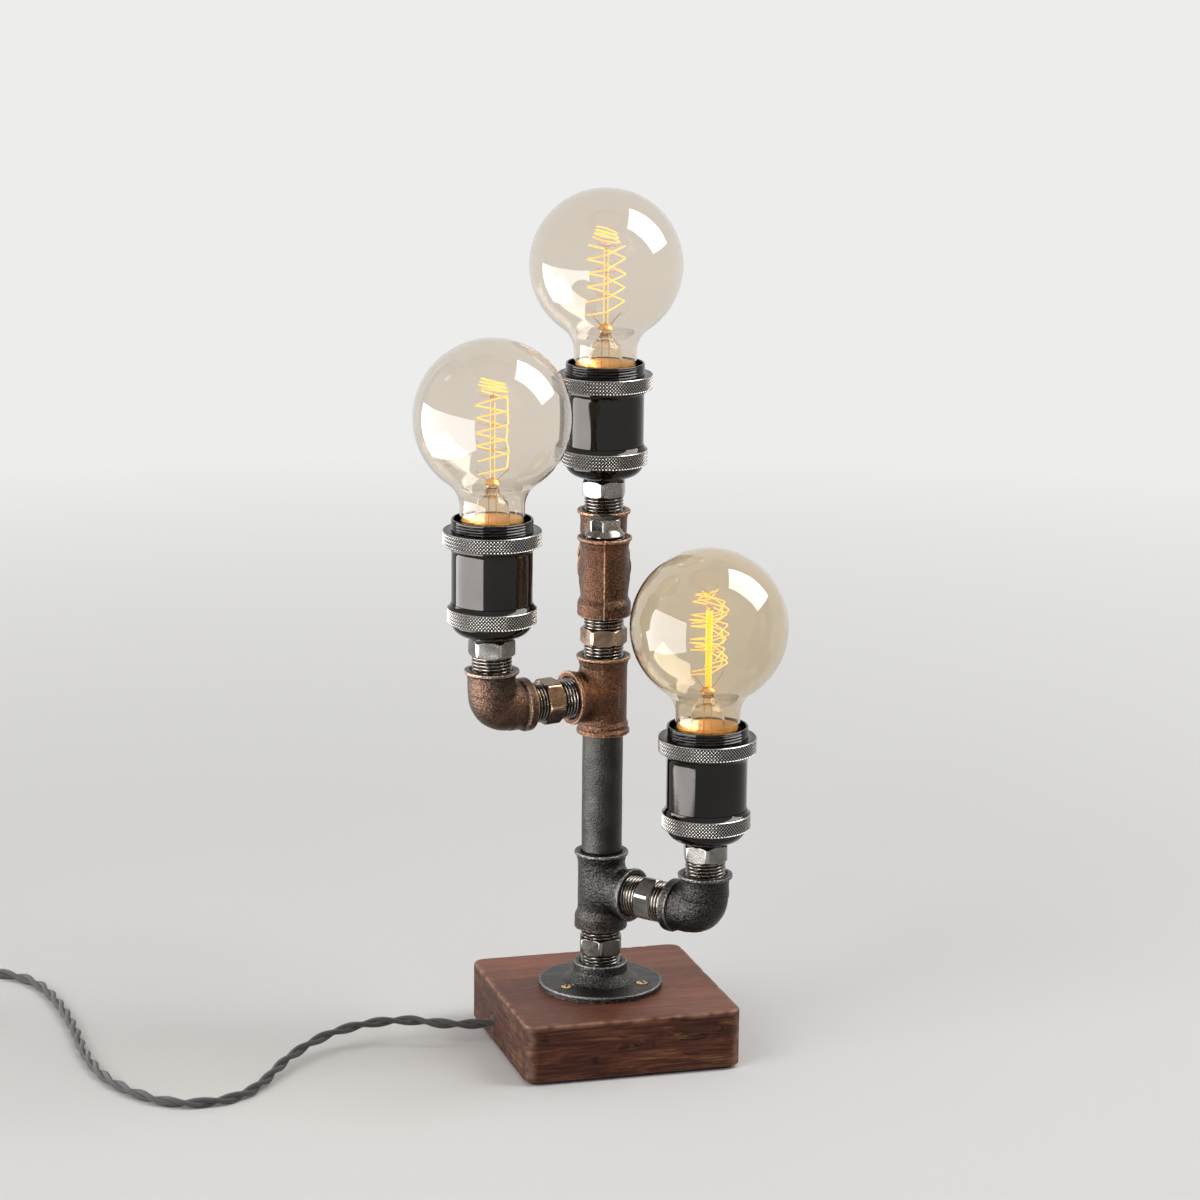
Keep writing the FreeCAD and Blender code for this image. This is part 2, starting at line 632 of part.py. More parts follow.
def socket_contacts():
    """Screw shell, and the centre tongue that the bulb's tip presses on."""
    screw_low = CORE_FLOOR_TOP + CONTACT_RAISE
    screw_shell = ring(CONTACT_R, CONTACT_R + CONTACT_WALL, screw_low, screw_low + CONTACT_HEIGHT)
    tongue = rod(TONGUE_R, CORE_FLOOR_TOP, TONGUE_TOP)
    return moved(Part.makeCompound([screw_shell, tongue]), x=ARM_REACH)


# ---------------------------------------------------------------- bulbs

def bulb_tip():
    """Black glass insulator with the centre contact; it rises and falls with the bulb."""
    seat = BULB_CAP_LOW
    outline = [(0, BULB_TIP_LOW), (BULB_CONTACT_R - 1, BULB_TIP_LOW), (BULB_CONTACT_R, BULB_TIP_LOW + 0.7),
               (BULB_TIP_R, seat), (BULB_TIP_R, seat + 1.5), (0, seat + 1.5)]
    return moved(lathe(outline), x=ARM_REACH)


def bulb_cap():
    """E27 cap, its thread drawn as rings, open at the tip for the insulator."""
    low = BULB_CAP_LOW + BULB_TIP_FIT
    thread_low = low + 2
    skirt_low = BULB_CAP_HIGH - BULB_CAP_SKIRT
    tip_r = BULB_TIP_R + BULB_TIP_FIT
    depth = BULB_CAP_R - BULB_CAP_ROOT_R
    inner = BULB_CAP_ROOT_R - BULB_CAP_WALL
    outline = [(tip_r, low), (BULB_CAP_ROOT_R - 1, low)]
    outline += ridges(BULB_CAP_R, depth, BULB_CAP_PITCH, thread_low, skirt_low)
    outline += [(BULB_CAP_R, skirt_low + 1), (BULB_CAP_R, BULB_CAP_HIGH), (inner, BULB_CAP_HIGH),
                (inner, low + 3), (tip_r, low + 2)]
    return moved(lathe(outline), x=ARM_REACH)


def globe_outline(radius, neck_r):
    """Points of one glass surface from the crown down to the neck: sphere, then the blend into the neck."""
    angle = math.radians(BULB_NECK_ANGLE)
    join_r = radius * math.cos(angle)
    join_z = BULB_CENTRE - radius * math.sin(angle)
    blend = (join_r - neck_r) / (1 - math.cos(angle))
    neck_z = join_z - blend * math.sin(angle)
    half = angle / 2
    middle_r = neck_r + blend * (1 - math.cos(half))
    middle_z = neck_z + blend * math.sin(half)
    side = math.radians(17.5)
    side_r = radius * math.cos(side)
    return [(0, BULB_CENTRE + radius), (join_r, join_z, side_r, BULB_CENTRE + radius * math.sin(side)),
            (neck_r, neck_z, middle_r, middle_z)]


def bulb_glass():
    """Globe with its neck and the stem that is fused into it, one hollow glass piece in the bulb's cap."""
    seat_r = BULB_CAP_ROOT_R - BULB_CAP_WALL - BULB_SEAT_GAP
    foot = BULB_CAP_HIGH - BULB_FOOT_DEPTH
    shoulder = BULB_CAP_HIGH + BULB_SHOULDER
    lip = BULB_CAP_HIGH + BULB_LIP_GAP
    wall = BULB_GLASS
    stem_low = BULB_CAP_LOW + STEM_FOOT
    stem_top = BULB_CAP_LOW + STEM_TOP
    outer = globe_outline(BULB_R, BULB_NECK_R)
    outer += [(BULB_NECK_R, shoulder), (BULB_CAP_R - BULB_LIP_GAP, lip), (seat_r, lip), (seat_r, foot),
              (0, foot)]
    inner = globe_outline(BULB_R - wall, BULB_NECK_R - wall)
    inner += [(BULB_NECK_R - wall, shoulder + wall / 2), (seat_r - wall, lip + wall),
              (seat_r - wall, foot + wall), (STEM_R + STEM_FLARE, stem_low),
              (STEM_R, stem_low + 2 * STEM_FLARE), (STEM_R, stem_top - STEM_PINCH),
              (STEM_R / 2, stem_top), (0, stem_top)]
    return moved(lathe(outer).cut(lathe(inner)), x=ARM_REACH)


def filament_ring(z):
    return Part.makeTorus(FILAMENT_R, FILAMENT_WIRE_R * 1.5, Vector(0, 0, z), Z_AXIS)


def bulb_filament():
    """Cage of upright strands between two rings, carried by the lead wires from the stem."""
    low = BULB_CAP_LOW + FILAMENT_LOW
    high = BULB_CAP_LOW + FILAMENT_HIGH
    stem_top = BULB_CAP_LOW + STEM_TOP
    pieces = [filament_ring(low), filament_ring(high), rod(FILAMENT_WIRE_R * 2, stem_top + 0.3, high + 1)]
    for index in range(FILAMENT_STRANDS):
        angle = 2 * math.pi * index / FILAMENT_STRANDS
        x, y = FILAMENT_R * math.cos(angle), FILAMENT_R * math.sin(angle)
        pieces.append(rod(FILAMENT_WIRE_R, low, high, x, y))
    for z in (low, high):
        pieces.append(Part.makeCylinder(FILAMENT_WIRE_R, 2 * FILAMENT_R, Vector(-FILAMENT_R, 0, z), X_AXIS))
    return moved(joined(pieces), x=ARM_REACH)


# ---------------------------------------------------------------- base

def wooden_base():
    block = rounded_box(BASE_SIDE, BASE_SIDE, BLOCK_HEIGHT, 0, 0, FELT_THICKNESS, BLOCK_CORNER_R)
    block = block.makeFillet(BLOCK_TOP_EDGE_R, edges_at(block, BLOCK_TOP))
    block = block.makeFillet(BLOCK_BOTTOM_EDGE_R, edges_at(block, FELT_THICKNESS))
    pocket = rounded_box(POCKET_LENGTH, POCKET_WIDTH, POCKET_DEPTH, COLUMN_X, POCKET_Y, FELT_THICKNESS, 4)
    well = rod(WIRE_WELL_R, POCKET_TOP - 1, BLOCK_TOP, COLUMN_X)
    gland_length = COLUMN_X + BASE_SIDE / 2
    gland = Part.makeCylinder(BUSHING_R, gland_length, Vector(*CORD_EXIT), X_AXIS)
    holes = [pocket, well, gland]
    for x, y in screw_places():
        tip = BLOCK_TOP + FLANGE_PLATE - SCREW_LENGTH
        holes.append(rod(SCREW_R + SCREW_CLEARANCE, tip - 0.3, BLOCK_TOP, x, y))
    return block.cut(holes)


def felt_pad():
    side = BASE_SIDE - 2 * FELT_INSET
    return rounded_box(side, side, FELT_THICKNESS, 0, 0, 0, BLOCK_CORNER_R - FELT_INSET / 2)


def terminal_block():
    low = POCKET_TOP - TERMINAL_HEIGHT
    return box(TERMINAL_LENGTH, TERMINAL_WIDTH, TERMINAL_HEIGHT, COLUMN_X, POCKET_Y, low)


def base_wiring():
    """Cord's inner end to the terminal block, and the harness from there to the three branches."""
    block_side = COLUMN_X - TERMINAL_LENGTH / 2
    start = Vector(-BASE_SIDE / 2, CORD_EXIT_Y, CORD_EXIT_Z)
    stub = Part.makeCylinder(CORD_R, block_side - start.x, start, X_AXIS)
    parts = [rod(HARNESS_R, POCKET_TOP, TOP_Z + HARNESS_R, COLUMN_X)]
    length = ARM_REACH - FITTING_REACH - WIRE_GAP
    for height, azimuth in ((LOWER_Z, LOWER_AZIMUTH), (MIDDLE_Z, MIDDLE_AZIMUTH), (TOP_Z, TOP_AZIMUTH)):
        angle = math.radians(azimuth)
        heading = Vector(math.cos(angle), math.sin(angle), 0)
        parts.append(Part.makeCylinder(ARM_WIRE_R, length, Vector(COLUMN_X, 0, height), heading))
    return Part.makeCompound([stub, joined(parts)])


def arm_wires():
    """Twin lead from the elbow's mouth round the bend and up to the socket's core."""
    start = ARM_REACH - FITTING_REACH + WIRE_GAP
    bend_x = ARM_REACH - ARM_WIRE_BEND
    level = Part.makeCylinder(ARM_WIRE_R, bend_x - start, Vector(start, 0, 0), X_AXIS)
    section = Part.Face(Part.Wire(Part.makeCircle(ARM_WIRE_R, Vector(bend_x, 0, 0), X_AXIS)))
    corner = section.revolve(Vector(bend_x, 0, ARM_WIRE_BEND), Y_AXIS, -90)
    upright = rod(ARM_WIRE_R, ARM_WIRE_BEND, SPIGOT_TOP + 1, x=ARM_REACH)
    return joined([level, corner, upright])


# ---------------------------------------------------------------- cord, switch and plug

def path_pieces(points):
    """Straight runs joined by tangent arcs, each arc as large as its two runs allow; prints the radii."""
    route = [Vector(*point) for point in points]
    edges = []
    start = route[0]
    radii = []
    for before, corner, after in zip(route, route[1:], route[2:]):
        back = before - corner
        ahead = after - corner
        turn = math.pi - back.getAngle(ahead)
        setback = ARC_SHARE * min(back.Length, ahead.Length)
        radius = setback / math.tan(turn / 2)
        radii.append(radius)
        back.normalize()
        ahead.normalize()
        arc_in = corner + back * setback
        arc_out = corner + ahead * setback
        inward = (back + ahead).normalize()
        middle = corner + inward * (radius / math.cos(turn / 2) - radius)
        edges.append(Part.LineSegment(start, arc_in).toShape())
        edges.append(Part.Arc(arc_in, middle, arc_out).toShape())
        start = arc_out
    edges.append(Part.LineSegment(start, route[-1]).toShape())
    print("bend radii, mm:", [round(radius, 1) for radius in radii])
    return edges


def cord_tube(name, points):
    """Round tube along a route; prints how its volume compares with section times length."""
    edges = path_pieces(points)
    wire = Part.Wire(edges)
    heading = Vector(*points[1]) - Vector(*points[0])
    section = Part.Wire(Part.makeCircle(CORD_R, Vector(*points[0]), heading))
    tube = wire.makePipeShell([section], True, False)
    expected = math.pi * CORD_R ** 2 * wire.Length
    print(name, "length, mm:", round(wire.Length, 1), "volume ratio:", round(tube.Volume / expected, 4))
    return tube


def cord_run():
    ends = [(SWITCH_X, SWITCH_BACK + SWITCH_LEAD, SWITCH_CORD_Z), (SWITCH_X, SWITCH_BACK, SWITCH_CORD_Z)]
    return cord_tube("cord_run", [CORD_EXIT] + CORD_RUN + ends)


def cord_link():
    """Short stretch from the switch down into the coil's outer turn."""
    points = [(SWITCH_X, SWITCH_FRONT, SWITCH_CORD_Z), (SWITCH_X, SWITCH_FRONT - SWITCH_LEAD, SWITCH_CORD_Z),
              (SWITCH_X, COIL_Y + 2 * COIL_ENTRY, CORD_R), (SWITCH_X, COIL_Y + COIL_ENTRY, CORD_R)]
    return cord_tube("cord_link", points).cut(coil_body())


def coil_body():
    half = COIL_TURNS_WIDE * CORD_R
    return moved(ring(COIL_MEAN_R - half, COIL_MEAN_R + half, 0, COIL_HEIGHT), COIL_X, COIL_Y)


def cord_coil():
    """The put-away length as one ring, with the straight tail that leaves it for the plug."""
    tail = Part.makeCylinder(CORD_R, PLUG_TAIL, Vector(TAIL_X, COIL_Y, PLUG_CENTRE_Z), Y_AXIS)
    wound = COIL_TURNS * 2 * math.pi * COIL_MEAN_R
    print("coil length, mm:", round(wound, 1), "tail, mm:", PLUG_TAIL)
    return joined([coil_body(), tail])


def cord_bushing():
    sleeve = ring(CORD_R + CORD_CLEARANCE, BUSHING_R, 0, BUSHING_LENGTH)
    return moved(along_x(sleeve), -BASE_SIDE / 2, CORD_EXIT_Y, CORD_EXIT_Z)


def switch_body():
    """In-line switch case with a well for its rocker and a sleeve for the cord at each end."""
    core = SWITCH_LENGTH - 2 * SWITCH_SLEEVE
    case = rounded_box(SWITCH_WIDTH, core, SWITCH_HEIGHT, SWITCH_X, SWITCH_Y, 0, SWITCH_EDGE_R)
    case = case.makeFillet(SWITCH_TOP_EDGE_R, edges_at(case, SWITCH_HEIGHT))
    case = case.makeFillet(SWITCH_BOTTOM_EDGE_R, edges_at(case, 0))
    half = core / 2
    sleeves = []
    for facing in (-1, 1):
        foot = Vector(SWITCH_X, SWITCH_Y + facing * (half - 1), SWITCH_CORD_Z)
        heading = Vector(0, facing, 0)
        sleeves.append(Part.makeCone(SWITCH_SLEEVE_R, SWITCH_SLEEVE_END_R, SWITCH_SLEEVE + 1, foot, heading))
    well_low = ROCKER_PIVOT_Z - ROCKER_DROP - ROCKER_FOOT_ROOM
    well_width = ROCKER_WIDTH + 2 * ROCKER_GAP
    well_length = ROCKER_LENGTH + 2 * ROCKER_GAP
    well = box(well_width, well_length, SWITCH_HEIGHT, SWITCH_X, SWITCH_Y, well_low)
    pin_length = ROCKER_WIDTH + 6 * ROCKER_GAP
    pin_start = Vector(SWITCH_X - pin_length / 2, SWITCH_Y, ROCKER_PIVOT_Z)
    pin_hole = Part.makeCylinder(ROCKER_PIN_R + ROCKER_PIN_FIT, pin_length, pin_start, X_AXIS)
    return joined([case] + sleeves).cut([well, pin_hole])


def switch_rocker():
    """Rocker on its cross pin, tipped to its on position."""
    half = ROCKER_LENGTH / 2
    top = half - ROCKER_TAPER
    section = [(-half, -ROCKER_SKIRT), (half, -ROCKER_SKIRT), (top, ROCKER_RISE),
               (-top, ROCKER_RISE, 0, ROCKER_RISE - ROCKER_DISH)]
    profile = face_from(section)
    slab = turned(profile.extrude(Vector(0, ROCKER_WIDTH, 0)), Z_AXIS, 90)
    slab = moved(slab, x=ROCKER_WIDTH / 2)
    foot = box(ROCKER_WIDTH / 2, ROCKER_FOOT, ROCKER_DROP, 0, 0, -ROCKER_DROP)
    pin_length = ROCKER_WIDTH + 4 * ROCKER_GAP
    pin = Part.makeCylinder(ROCKER_PIN_R, pin_length, Vector(-pin_length / 2, 0, 0), X_AXIS)
    rocker = turned(joined([slab, foot, pin]), X_AXIS, ROCKER_TILT)
    return moved(rocker, SWITCH_X, SWITCH_Y, ROCKER_PIVOT_Z)


def plug_section(y, width, thickness):
    """Rounded outline of the plug's body across the cord's direction."""
    half = width / 2 - thickness / 2
    low, high = PLUG_CENTRE_Z - thickness / 2, PLUG_CENTRE_Z + thickness / 2
    left, right = TAIL_X - half, TAIL_X + half
    far = thickness / 2
    corners = [Vector(left, y, low), Vector(right, y, low), Vector(right, y, high), Vector(left, y, high)]
    right_end, left_end = Vector(right + far, y, PLUG_CENTRE_Z), Vector(left - far, y, PLUG_CENTRE_Z)
    return Part.Wire([Part.LineSegment(corners[0], corners[1]).toShape(),
                      Part.Arc(corners[1], right_end, corners[2]).toShape(),
                      Part.LineSegment(corners[2], corners[3]).toShape(),
                      Part.Arc(corners[3], left_end, corners[0]).toShape()])


def plug_body():
    """Flat two-pin plug, lying on its broad side beyond the coil's tail."""
    slope_low = PLUG_REAR + PLUG_RELIEF
    body_low = slope_low + PLUG_SLOPE
    rear = Vector(TAIL_X, PLUG_REAR, PLUG_CENTRE_Z)
    relief = Part.makeCone(PLUG_RELIEF_END_R, PLUG_RELIEF_R, PLUG_RELIEF + 1, rear, Y_AXIS)
    collar = plug_section(slope_low, PLUG_COLLAR_WIDTH, PLUG_COLLAR_THICKNESS)
    broad = plug_section(body_low, PLUG_WIDTH, PLUG_THICKNESS)
    slope = Part.makeLoft([collar, broad], True, True)
    body = Part.Face(broad).extrude(Vector(0, PLUG_BODY, 0))
    solid = joined([relief, slope, body])
    holes = [pin_root(side, PIN_ROOT_R + CORD_CLEARANCE) for side in (-1, 1)]
    return solid.cut(holes)


def pin_foot(side):
    """Middle of a pin where it leaves the plug's front face."""
    front = PLUG_REAR + PLUG_RELIEF + PLUG_SLOPE + PLUG_BODY
    return Vector(TAIL_X + side * PIN_SPACING / 2, front, PLUG_CENTRE_Z)


def pin_root(side, radius):
    return Part.makeCylinder(radius, PIN_ROOT, pin_foot(side) - Y_AXIS * PIN_ROOT, Y_AXIS)


def plug_pins():
    """Two round pins, each with a thicker root that is held in the plug's body."""
    pins = []
    for side in (-1, 1):
        blade = Part.makeCylinder(PIN_R, PIN_LENGTH, pin_foot(side), Y_AXIS)
        tip = max(blade.Edges, key=lambda edge: edge.BoundBox.YMin)
        blade = blade.makeFillet(PIN_TIP_EDGE_R, [tip])
        pins.append(joined([blade, pin_root(side, PIN_ROOT_R)]))
    return Part.makeCompound(pins)


# ---------------------------------------------------------------- assembly

def branch_nipple(turn):
    thread = (BRANCH_GAP - BRANCH_HEX_LENGTH) / 2
    nipple = hex_nipple(thread, BRANCH_HEX_LENGTH, thread, turn)
    return moved(along_x(nipple), x=FITTING_REACH + thread)


def arm_pieces(branch_turn, riser_turn):
    """Every piece of one arm, in the arm's frame."""
    return {
        "branch_nipple": branch_nipple(branch_turn),
        "elbow": elbow(),
        "riser_nipple": moved(riser_nipple(riser_turn), x=ARM_REACH),
        "socket_cap": socket_cap(),
        "socket_shell": socket_shell(),
        "shade_ring": shade_ring(),
        "socket_core": socket_core(),
        "socket_contacts": socket_contacts(),
        "bulb_tip": bulb_tip(),
        "bulb_cap": bulb_cap(),
        "bulb_glass": bulb_glass(),
        "bulb_filament": bulb_filament(),
        "wires": arm_wires(),
    }


def on_column(shape, height, azimuth):
    return moved(turned(shape, Z_AXIS, azimuth), COLUMN_X, 0, height)


def arms():
    """The three arms, each turned to its direction and raised to its tee."""
    nodes = {}
    for name, height, azimuth, branch_turn, riser_turn in (
            ("lower", LOWER_Z, LOWER_AZIMUTH, LOWER_BRANCH_TURN, LOWER_RISER_TURN),
            ("middle", MIDDLE_Z, MIDDLE_AZIMUTH, MIDDLE_BRANCH_TURN, MIDDLE_RISER_TURN),
            ("top", TOP_Z, TOP_AZIMUTH, TOP_BRANCH_TURN, TOP_RISER_TURN)):
        for piece, shape in arm_pieces(branch_turn, riser_turn - azimuth).items():
            nodes[name + "_" + piece] = on_column(shape, height, azimuth)
    return nodes


def column():
    return {
        "floor_flange": floor_flange(),
        "flange_screws": flange_screws(),
        "flange_nipple": column_nipple(FLANGE_TOP, LOWER_NIPPLE_GAP, FLANGE_NIPPLE_TURN),
        "lower_tee": on_column(tee(TALL_BAND), LOWER_Z, LOWER_AZIMUTH),
        "column_pipe": column_pipe(),
        "middle_tee": on_column(tee(SHORT_BAND), MIDDLE_Z, MIDDLE_AZIMUTH),
        "upper_nipple": column_nipple(MIDDLE_Z + FITTING_REACH, UPPER_NIPPLE_GAP, UPPER_NIPPLE_TURN),
        "top_tee": on_column(tee(TALL_BAND), TOP_Z, TOP_AZIMUTH),
        "hex_plug": hex_plug(),
    }


def base():
    return {
        "wooden_base": wooden_base(),
        "felt_pad": felt_pad(),
        "terminal_block": terminal_block(),
        "base_wiring": base_wiring(),
    }


def cord():
    return {
        "cord_bushing": cord_bushing(),
        "cord_run": cord_run(),
        "cord_link": cord_link(),
        "cord_coil": cord_coil(),
        "switch_body": switch_body(),
        "switch_rocker": switch_rocker(),
        "plug_body": plug_body(),
        "plug_pins": plug_pins(),
    }


def main():
    os.makedirs("parts", exist_ok=True)
    nodes = {**base(), **column(), **arms(), **cord()}
    for name, shape in nodes.items():
        if not shape.isValid():
            print("not valid:", name)
        shape.exportStep("parts/" + name + ".step")
    print(len(nodes), "nodes")


main()
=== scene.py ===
import math

import bmesh
import bpy
import numpy as np
from mathutils import Matrix, Vector, noise


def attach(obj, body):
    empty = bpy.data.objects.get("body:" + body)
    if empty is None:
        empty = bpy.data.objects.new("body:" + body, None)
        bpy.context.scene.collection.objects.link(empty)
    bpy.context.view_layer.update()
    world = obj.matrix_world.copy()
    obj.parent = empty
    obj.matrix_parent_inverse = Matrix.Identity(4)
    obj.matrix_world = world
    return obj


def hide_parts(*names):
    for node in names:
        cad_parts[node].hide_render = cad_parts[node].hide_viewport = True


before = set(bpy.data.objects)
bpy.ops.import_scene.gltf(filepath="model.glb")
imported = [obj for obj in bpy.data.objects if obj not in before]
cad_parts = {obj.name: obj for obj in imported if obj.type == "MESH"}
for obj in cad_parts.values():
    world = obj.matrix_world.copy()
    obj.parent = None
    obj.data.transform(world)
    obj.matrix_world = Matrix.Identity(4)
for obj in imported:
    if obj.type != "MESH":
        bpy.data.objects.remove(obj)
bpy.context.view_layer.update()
rng = np.random.default_rng(41)

# Industrial pipe table lamp. Shapes are worked out in millimetres, in the part's frame, and scaled when a
# mesh is made.
MM = 0.001
TURN = 2 * math.pi

COLUMN_X = -2.5
LOWER_Z, MIDDLE_Z, TOP_Z = 86.25, 192.75, 256.0
REACH = 67.0
FACE = 21.0  # from a fitting's centre to its mouths
RIM_R = 14.25
BORE_R = 8.8
CREST_R = 10.48
THREAD_DEPTH, THREAD_PITCH = 1.16, 1.814
HEX_FLATS = 21.8
HEX_LENGTH, BRANCH_HEX_LENGTH = 8.4, 9.4
BLOCK_SIDE = 117.0
BLOCK_LOW, BLOCK_TOP = 2.0, 32.5
FLANGE_R, FLANGE_PLATE, FLANGE_TOP = 32.75, 3.7, 46.5
HUB_R = 14.2
SCREW_CIRCLE_R = 23.3
SCREW_ANGLES = (85.0, 205.0, 325.0)
PIPE_R = 10.65

# heights above an arm's branch axis
RISER_TOP = 37.2
CAP_RING_LOW, CAP_RING_HIGH = 46.0, 54.4
BARREL_LOW, FLARE_LOW = 56.4, 82.2
COLLAR_LOW, COLLAR_HIGH = 86.7, 100.5
BULB_CENTRE = 152.45
BULB_R, NECK_R = 40.75, 16.8

# arm: height of its tee, azimuth, turns of its branch and riser hexagons
ARMS = {
    "lower": (LOWER_Z, 307.5, 8.0, 257.0),
    "middle": (MIDDLE_Z, 195.0, 24.0, 277.0),
    "top": (TOP_Z, 74.5, 0.0, 249.0),
}

# cord: the route's points repeat the part's, in metres
CORD_D = 0.0055
CORD_R = CORD_D / 2
CORD_EXIT = (-0.0585, 0.013, 0.0115)
SWITCH_X, SWITCH_Y = -0.347, 0.106
COIL_X, COIL_Y, COIL_R = -0.3835, 0.018, 0.031
TAIL_X, TAIL_Z = -0.42, 0.00685
PLUG_REAR = 0.054
CORD_ROUTE = [
    CORD_EXIT, (-0.079, 0.013, 0.0115), (-0.103, 0.026, 0.0135), (-0.14, 0.022, 0.0125),
    (-0.17, 0.004, 0.0065), (-0.191, -0.027, CORD_R), (-0.208, -0.044, CORD_R), (-0.232, -0.047, CORD_R),
    (-0.251, -0.034, CORD_R), (-0.268, 0.0, CORD_R), (-0.2725, 0.042, CORD_R), (-0.271, 0.082, CORD_R),
    (-0.2725, 0.128, CORD_R), (-0.279, 0.168, CORD_R), (-0.299, 0.19, CORD_R), (-0.326, 0.193, CORD_R),
    (-0.345, 0.174, 0.004), (SWITCH_X, 0.149, 0.008), (SWITCH_X, 0.137, 0.008), (SWITCH_X, SWITCH_Y, 0.008),
    (SWITCH_X, 0.075, 0.008), (SWITCH_X, 0.063, 0.008), (SWITCH_X, 0.038, CORD_R),
]


def make_camera():
    """Camera fitted to the photo."""
    camera = bpy.data.objects.new("camera", bpy.data.cameras.new("camera"))
    camera.data.sensor_fit = "HORIZONTAL"
    camera.data.sensor_width = 36
    camera.data.lens = 124.33
    camera.data.clip_start = 0.05
    right = Vector((0.96185, -0.27342, 0.00971)).normalized()
    up = Vector((0.05388, 0.22409, 0.97308)).normalized()
    back = right.cross(up).normalized()
    turn = Matrix((right, up, back)).transposed().to_4x4()
    camera.matrix_world = Matrix.Translation((-0.583297, -2.017681, 0.739629)) @ turn
    bpy.context.scene.collection.objects.link(camera)
    bpy.context.scene.camera = camera


make_camera()


# mesh helpers: a shell is points in millimetres, faces, and the material number of each face

def add_object(name, data):
    obj = bpy.data.objects.new(name, data)
    bpy.context.scene.collection.objects.link(obj)
    return obj


def new_mesh(name, points, faces, materials):
    mesh = bpy.data.meshes.new(name)
    mesh.from_pydata(points.tolist(), [], faces)
    for material in materials:
        mesh.materials.append(material)
    return mesh


def add_piece(name, shell, place, materials, sharp=40, weld=0.002, worn=None):
    """Object from a shell. An edge from sharp, in degrees, stays crisp. The last argument, a number for each
    point, is
    for the material to read: wear on some pieces, painted highlights and painted shade on others."""
    points, faces, tags = shell
    mesh = new_mesh(name, moved(points, place) * MM, faces, materials)
    mesh.polygons.foreach_set("material_index", np.asarray(tags, dtype=np.int32))
    if worn is not None:
        layer = mesh.attributes.new("worn", "FLOAT", "POINT")
        layer.data.foreach_set("value", np.asarray(worn, dtype=np.float32))
    work = bmesh.new()
    work.from_mesh(mesh)
    if weld:
        bmesh.ops.remove_doubles(work, verts=work.verts, dist=weld * MM)
    bmesh.ops.recalc_face_normals(work, faces=work.faces)
    work.to_mesh(mesh)
    work.free()
    mesh.shade_smooth()
    mesh.set_sharp_from_angle(angle=math.radians(sharp))
    mesh.update()
    return add_object(name, mesh)


def finish_piece(obj, body, nodes):
    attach(obj, body)
    if nodes:
        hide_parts(*nodes.split())
    return obj


def piece(name, body, slot, nodes, shell, place, materials, *args, **options):
    return finish_piece(add_piece(name, shell, place, materials, *args, **options), body, nodes)


def new_shell(points, faces, tag=0):
    faces = faces if isinstance(faces, list) else faces.tolist()
    return np.asarray(points, float), faces, [tag] * len(faces)


def joined(*shells):
    points, faces, tags = [], [], []
    count = 0
    for some, quads, numbers in shells:
        points.append(some)
        faces += [[index + count for index in face] for face in quads]
        tags += numbers
        count += len(some)
    return np.concatenate(points), faces, tags


def placed(some, matrix):
    return moved(some[0], matrix), some[1], some[2]


def moved(points, matrix):
    return np.asarray(points, float) @ matrix[:3, :3].T + matrix[:3, 3]


def shift(x=0.0, y=0.0, z=0.0):
    matrix = np.eye(4)
    matrix[:3, 3] = (x, y, z)
    return matrix


def spin(axis, degrees):
    return np.array(Matrix.Rotation(math.radians(degrees), 4, axis))


def arm_place(arm):
    height, azimuth = ARMS[arm][:2]
    return shift(COLUMN_X, 0, height) @ spin("Z", azimuth)


def riser_place(arm):
    """Frame on the riser's axis, with z = 0 at the height of the branch."""
    return arm_place(arm) @ shift(REACH)


def circle_angles(count):
    return np.arange(count) * TURN / count


def on_circle(radius, angle, *rest):
    return (radius * math.cos(angle), radius * math.sin(angle), *rest)


def grid_faces(rows, columns, closed=False):
    """Quads of a grid whose columns wrap round, and whose rows wrap round too when closed."""
    row = np.arange(rows if closed else rows - 1)[:, None]
    column = np.arange(columns)[None, :]
    after, beside = (row + 1) % rows * columns, (column + 1) % columns
    row = row * columns
    return np.stack([row + column, row + beside, after + beside, after + column], -1).reshape(-1, 4)


def end_faces(rows, columns):
    return [list(range(columns)), list(range((rows - 1) * columns, rows * columns))]


def filleted(points):
    """Outline with arcs at the corners that have a third number, their radius."""
    outline = []
    for index, point in enumerate(points):
        radius = point[2] if len(point) > 2 else 0
        here = np.array(point[:2], float)
        if not radius or index in (0, len(points) - 1):
            outline.append(here)
            continue
        back = np.array(points[index - 1][:2], float) - here
        ahead = np.array(points[index + 1][:2], float) - here
        reach_back, reach_ahead = np.linalg.norm(back), np.linalg.norm(ahead)
        back, ahead = back / reach_back, ahead / reach_ahead
        angle = math.acos(np.clip(back @ ahead, -1, 1))
        setback = min(radius / math.tan(angle / 2), 0.49 * reach_back, 0.49 * reach_ahead)
        start, end = here + back * setback, here + ahead * setback
        outline += [(1 - t) ** 2 * start + 2 * t * (1 - t) * here + t * t * end for t in np.linspace(0, 1, 6)]
    return np.array(outline)


def divided(outline, step):
    """The same outline with long stretches divided."""
    outline = np.asarray(outline, float)
    result = [outline[0]]
    for start, end in zip(outline, outline[1:]):
        count = max(1, math.ceil(np.linalg.norm(end - start) / step))
        result += [start + (end - start) * (k + 1) / count for k in range(count)]
    return np.array(result)


def lathe(outline, columns=128, relief=None, closed=True, tag=0):
    """Body of revolution from (r, z) points; relief(angle, z, r) adds to the radius. An outline that starts
    and ends on the axis isn't closed."""
    outline = np.asarray(outline, float)
    angle = circle_angles(columns)
    r, z = (np.repeat(outline[:, k:k + 1], columns, 1) for k in (0, 1))
    if relief:
        r = r + relief(angle[None, :], z, r)
    points = np.stack([r * np.cos(angle), r * np.sin(angle), z], -1).reshape(-1, 3)
    return new_shell(points, grid_faces(len(outline), columns, closed), tag)


def solid_lathe(outline, columns=128, tag=0):
    return lathe(outline, columns, closed=False, tag=tag)


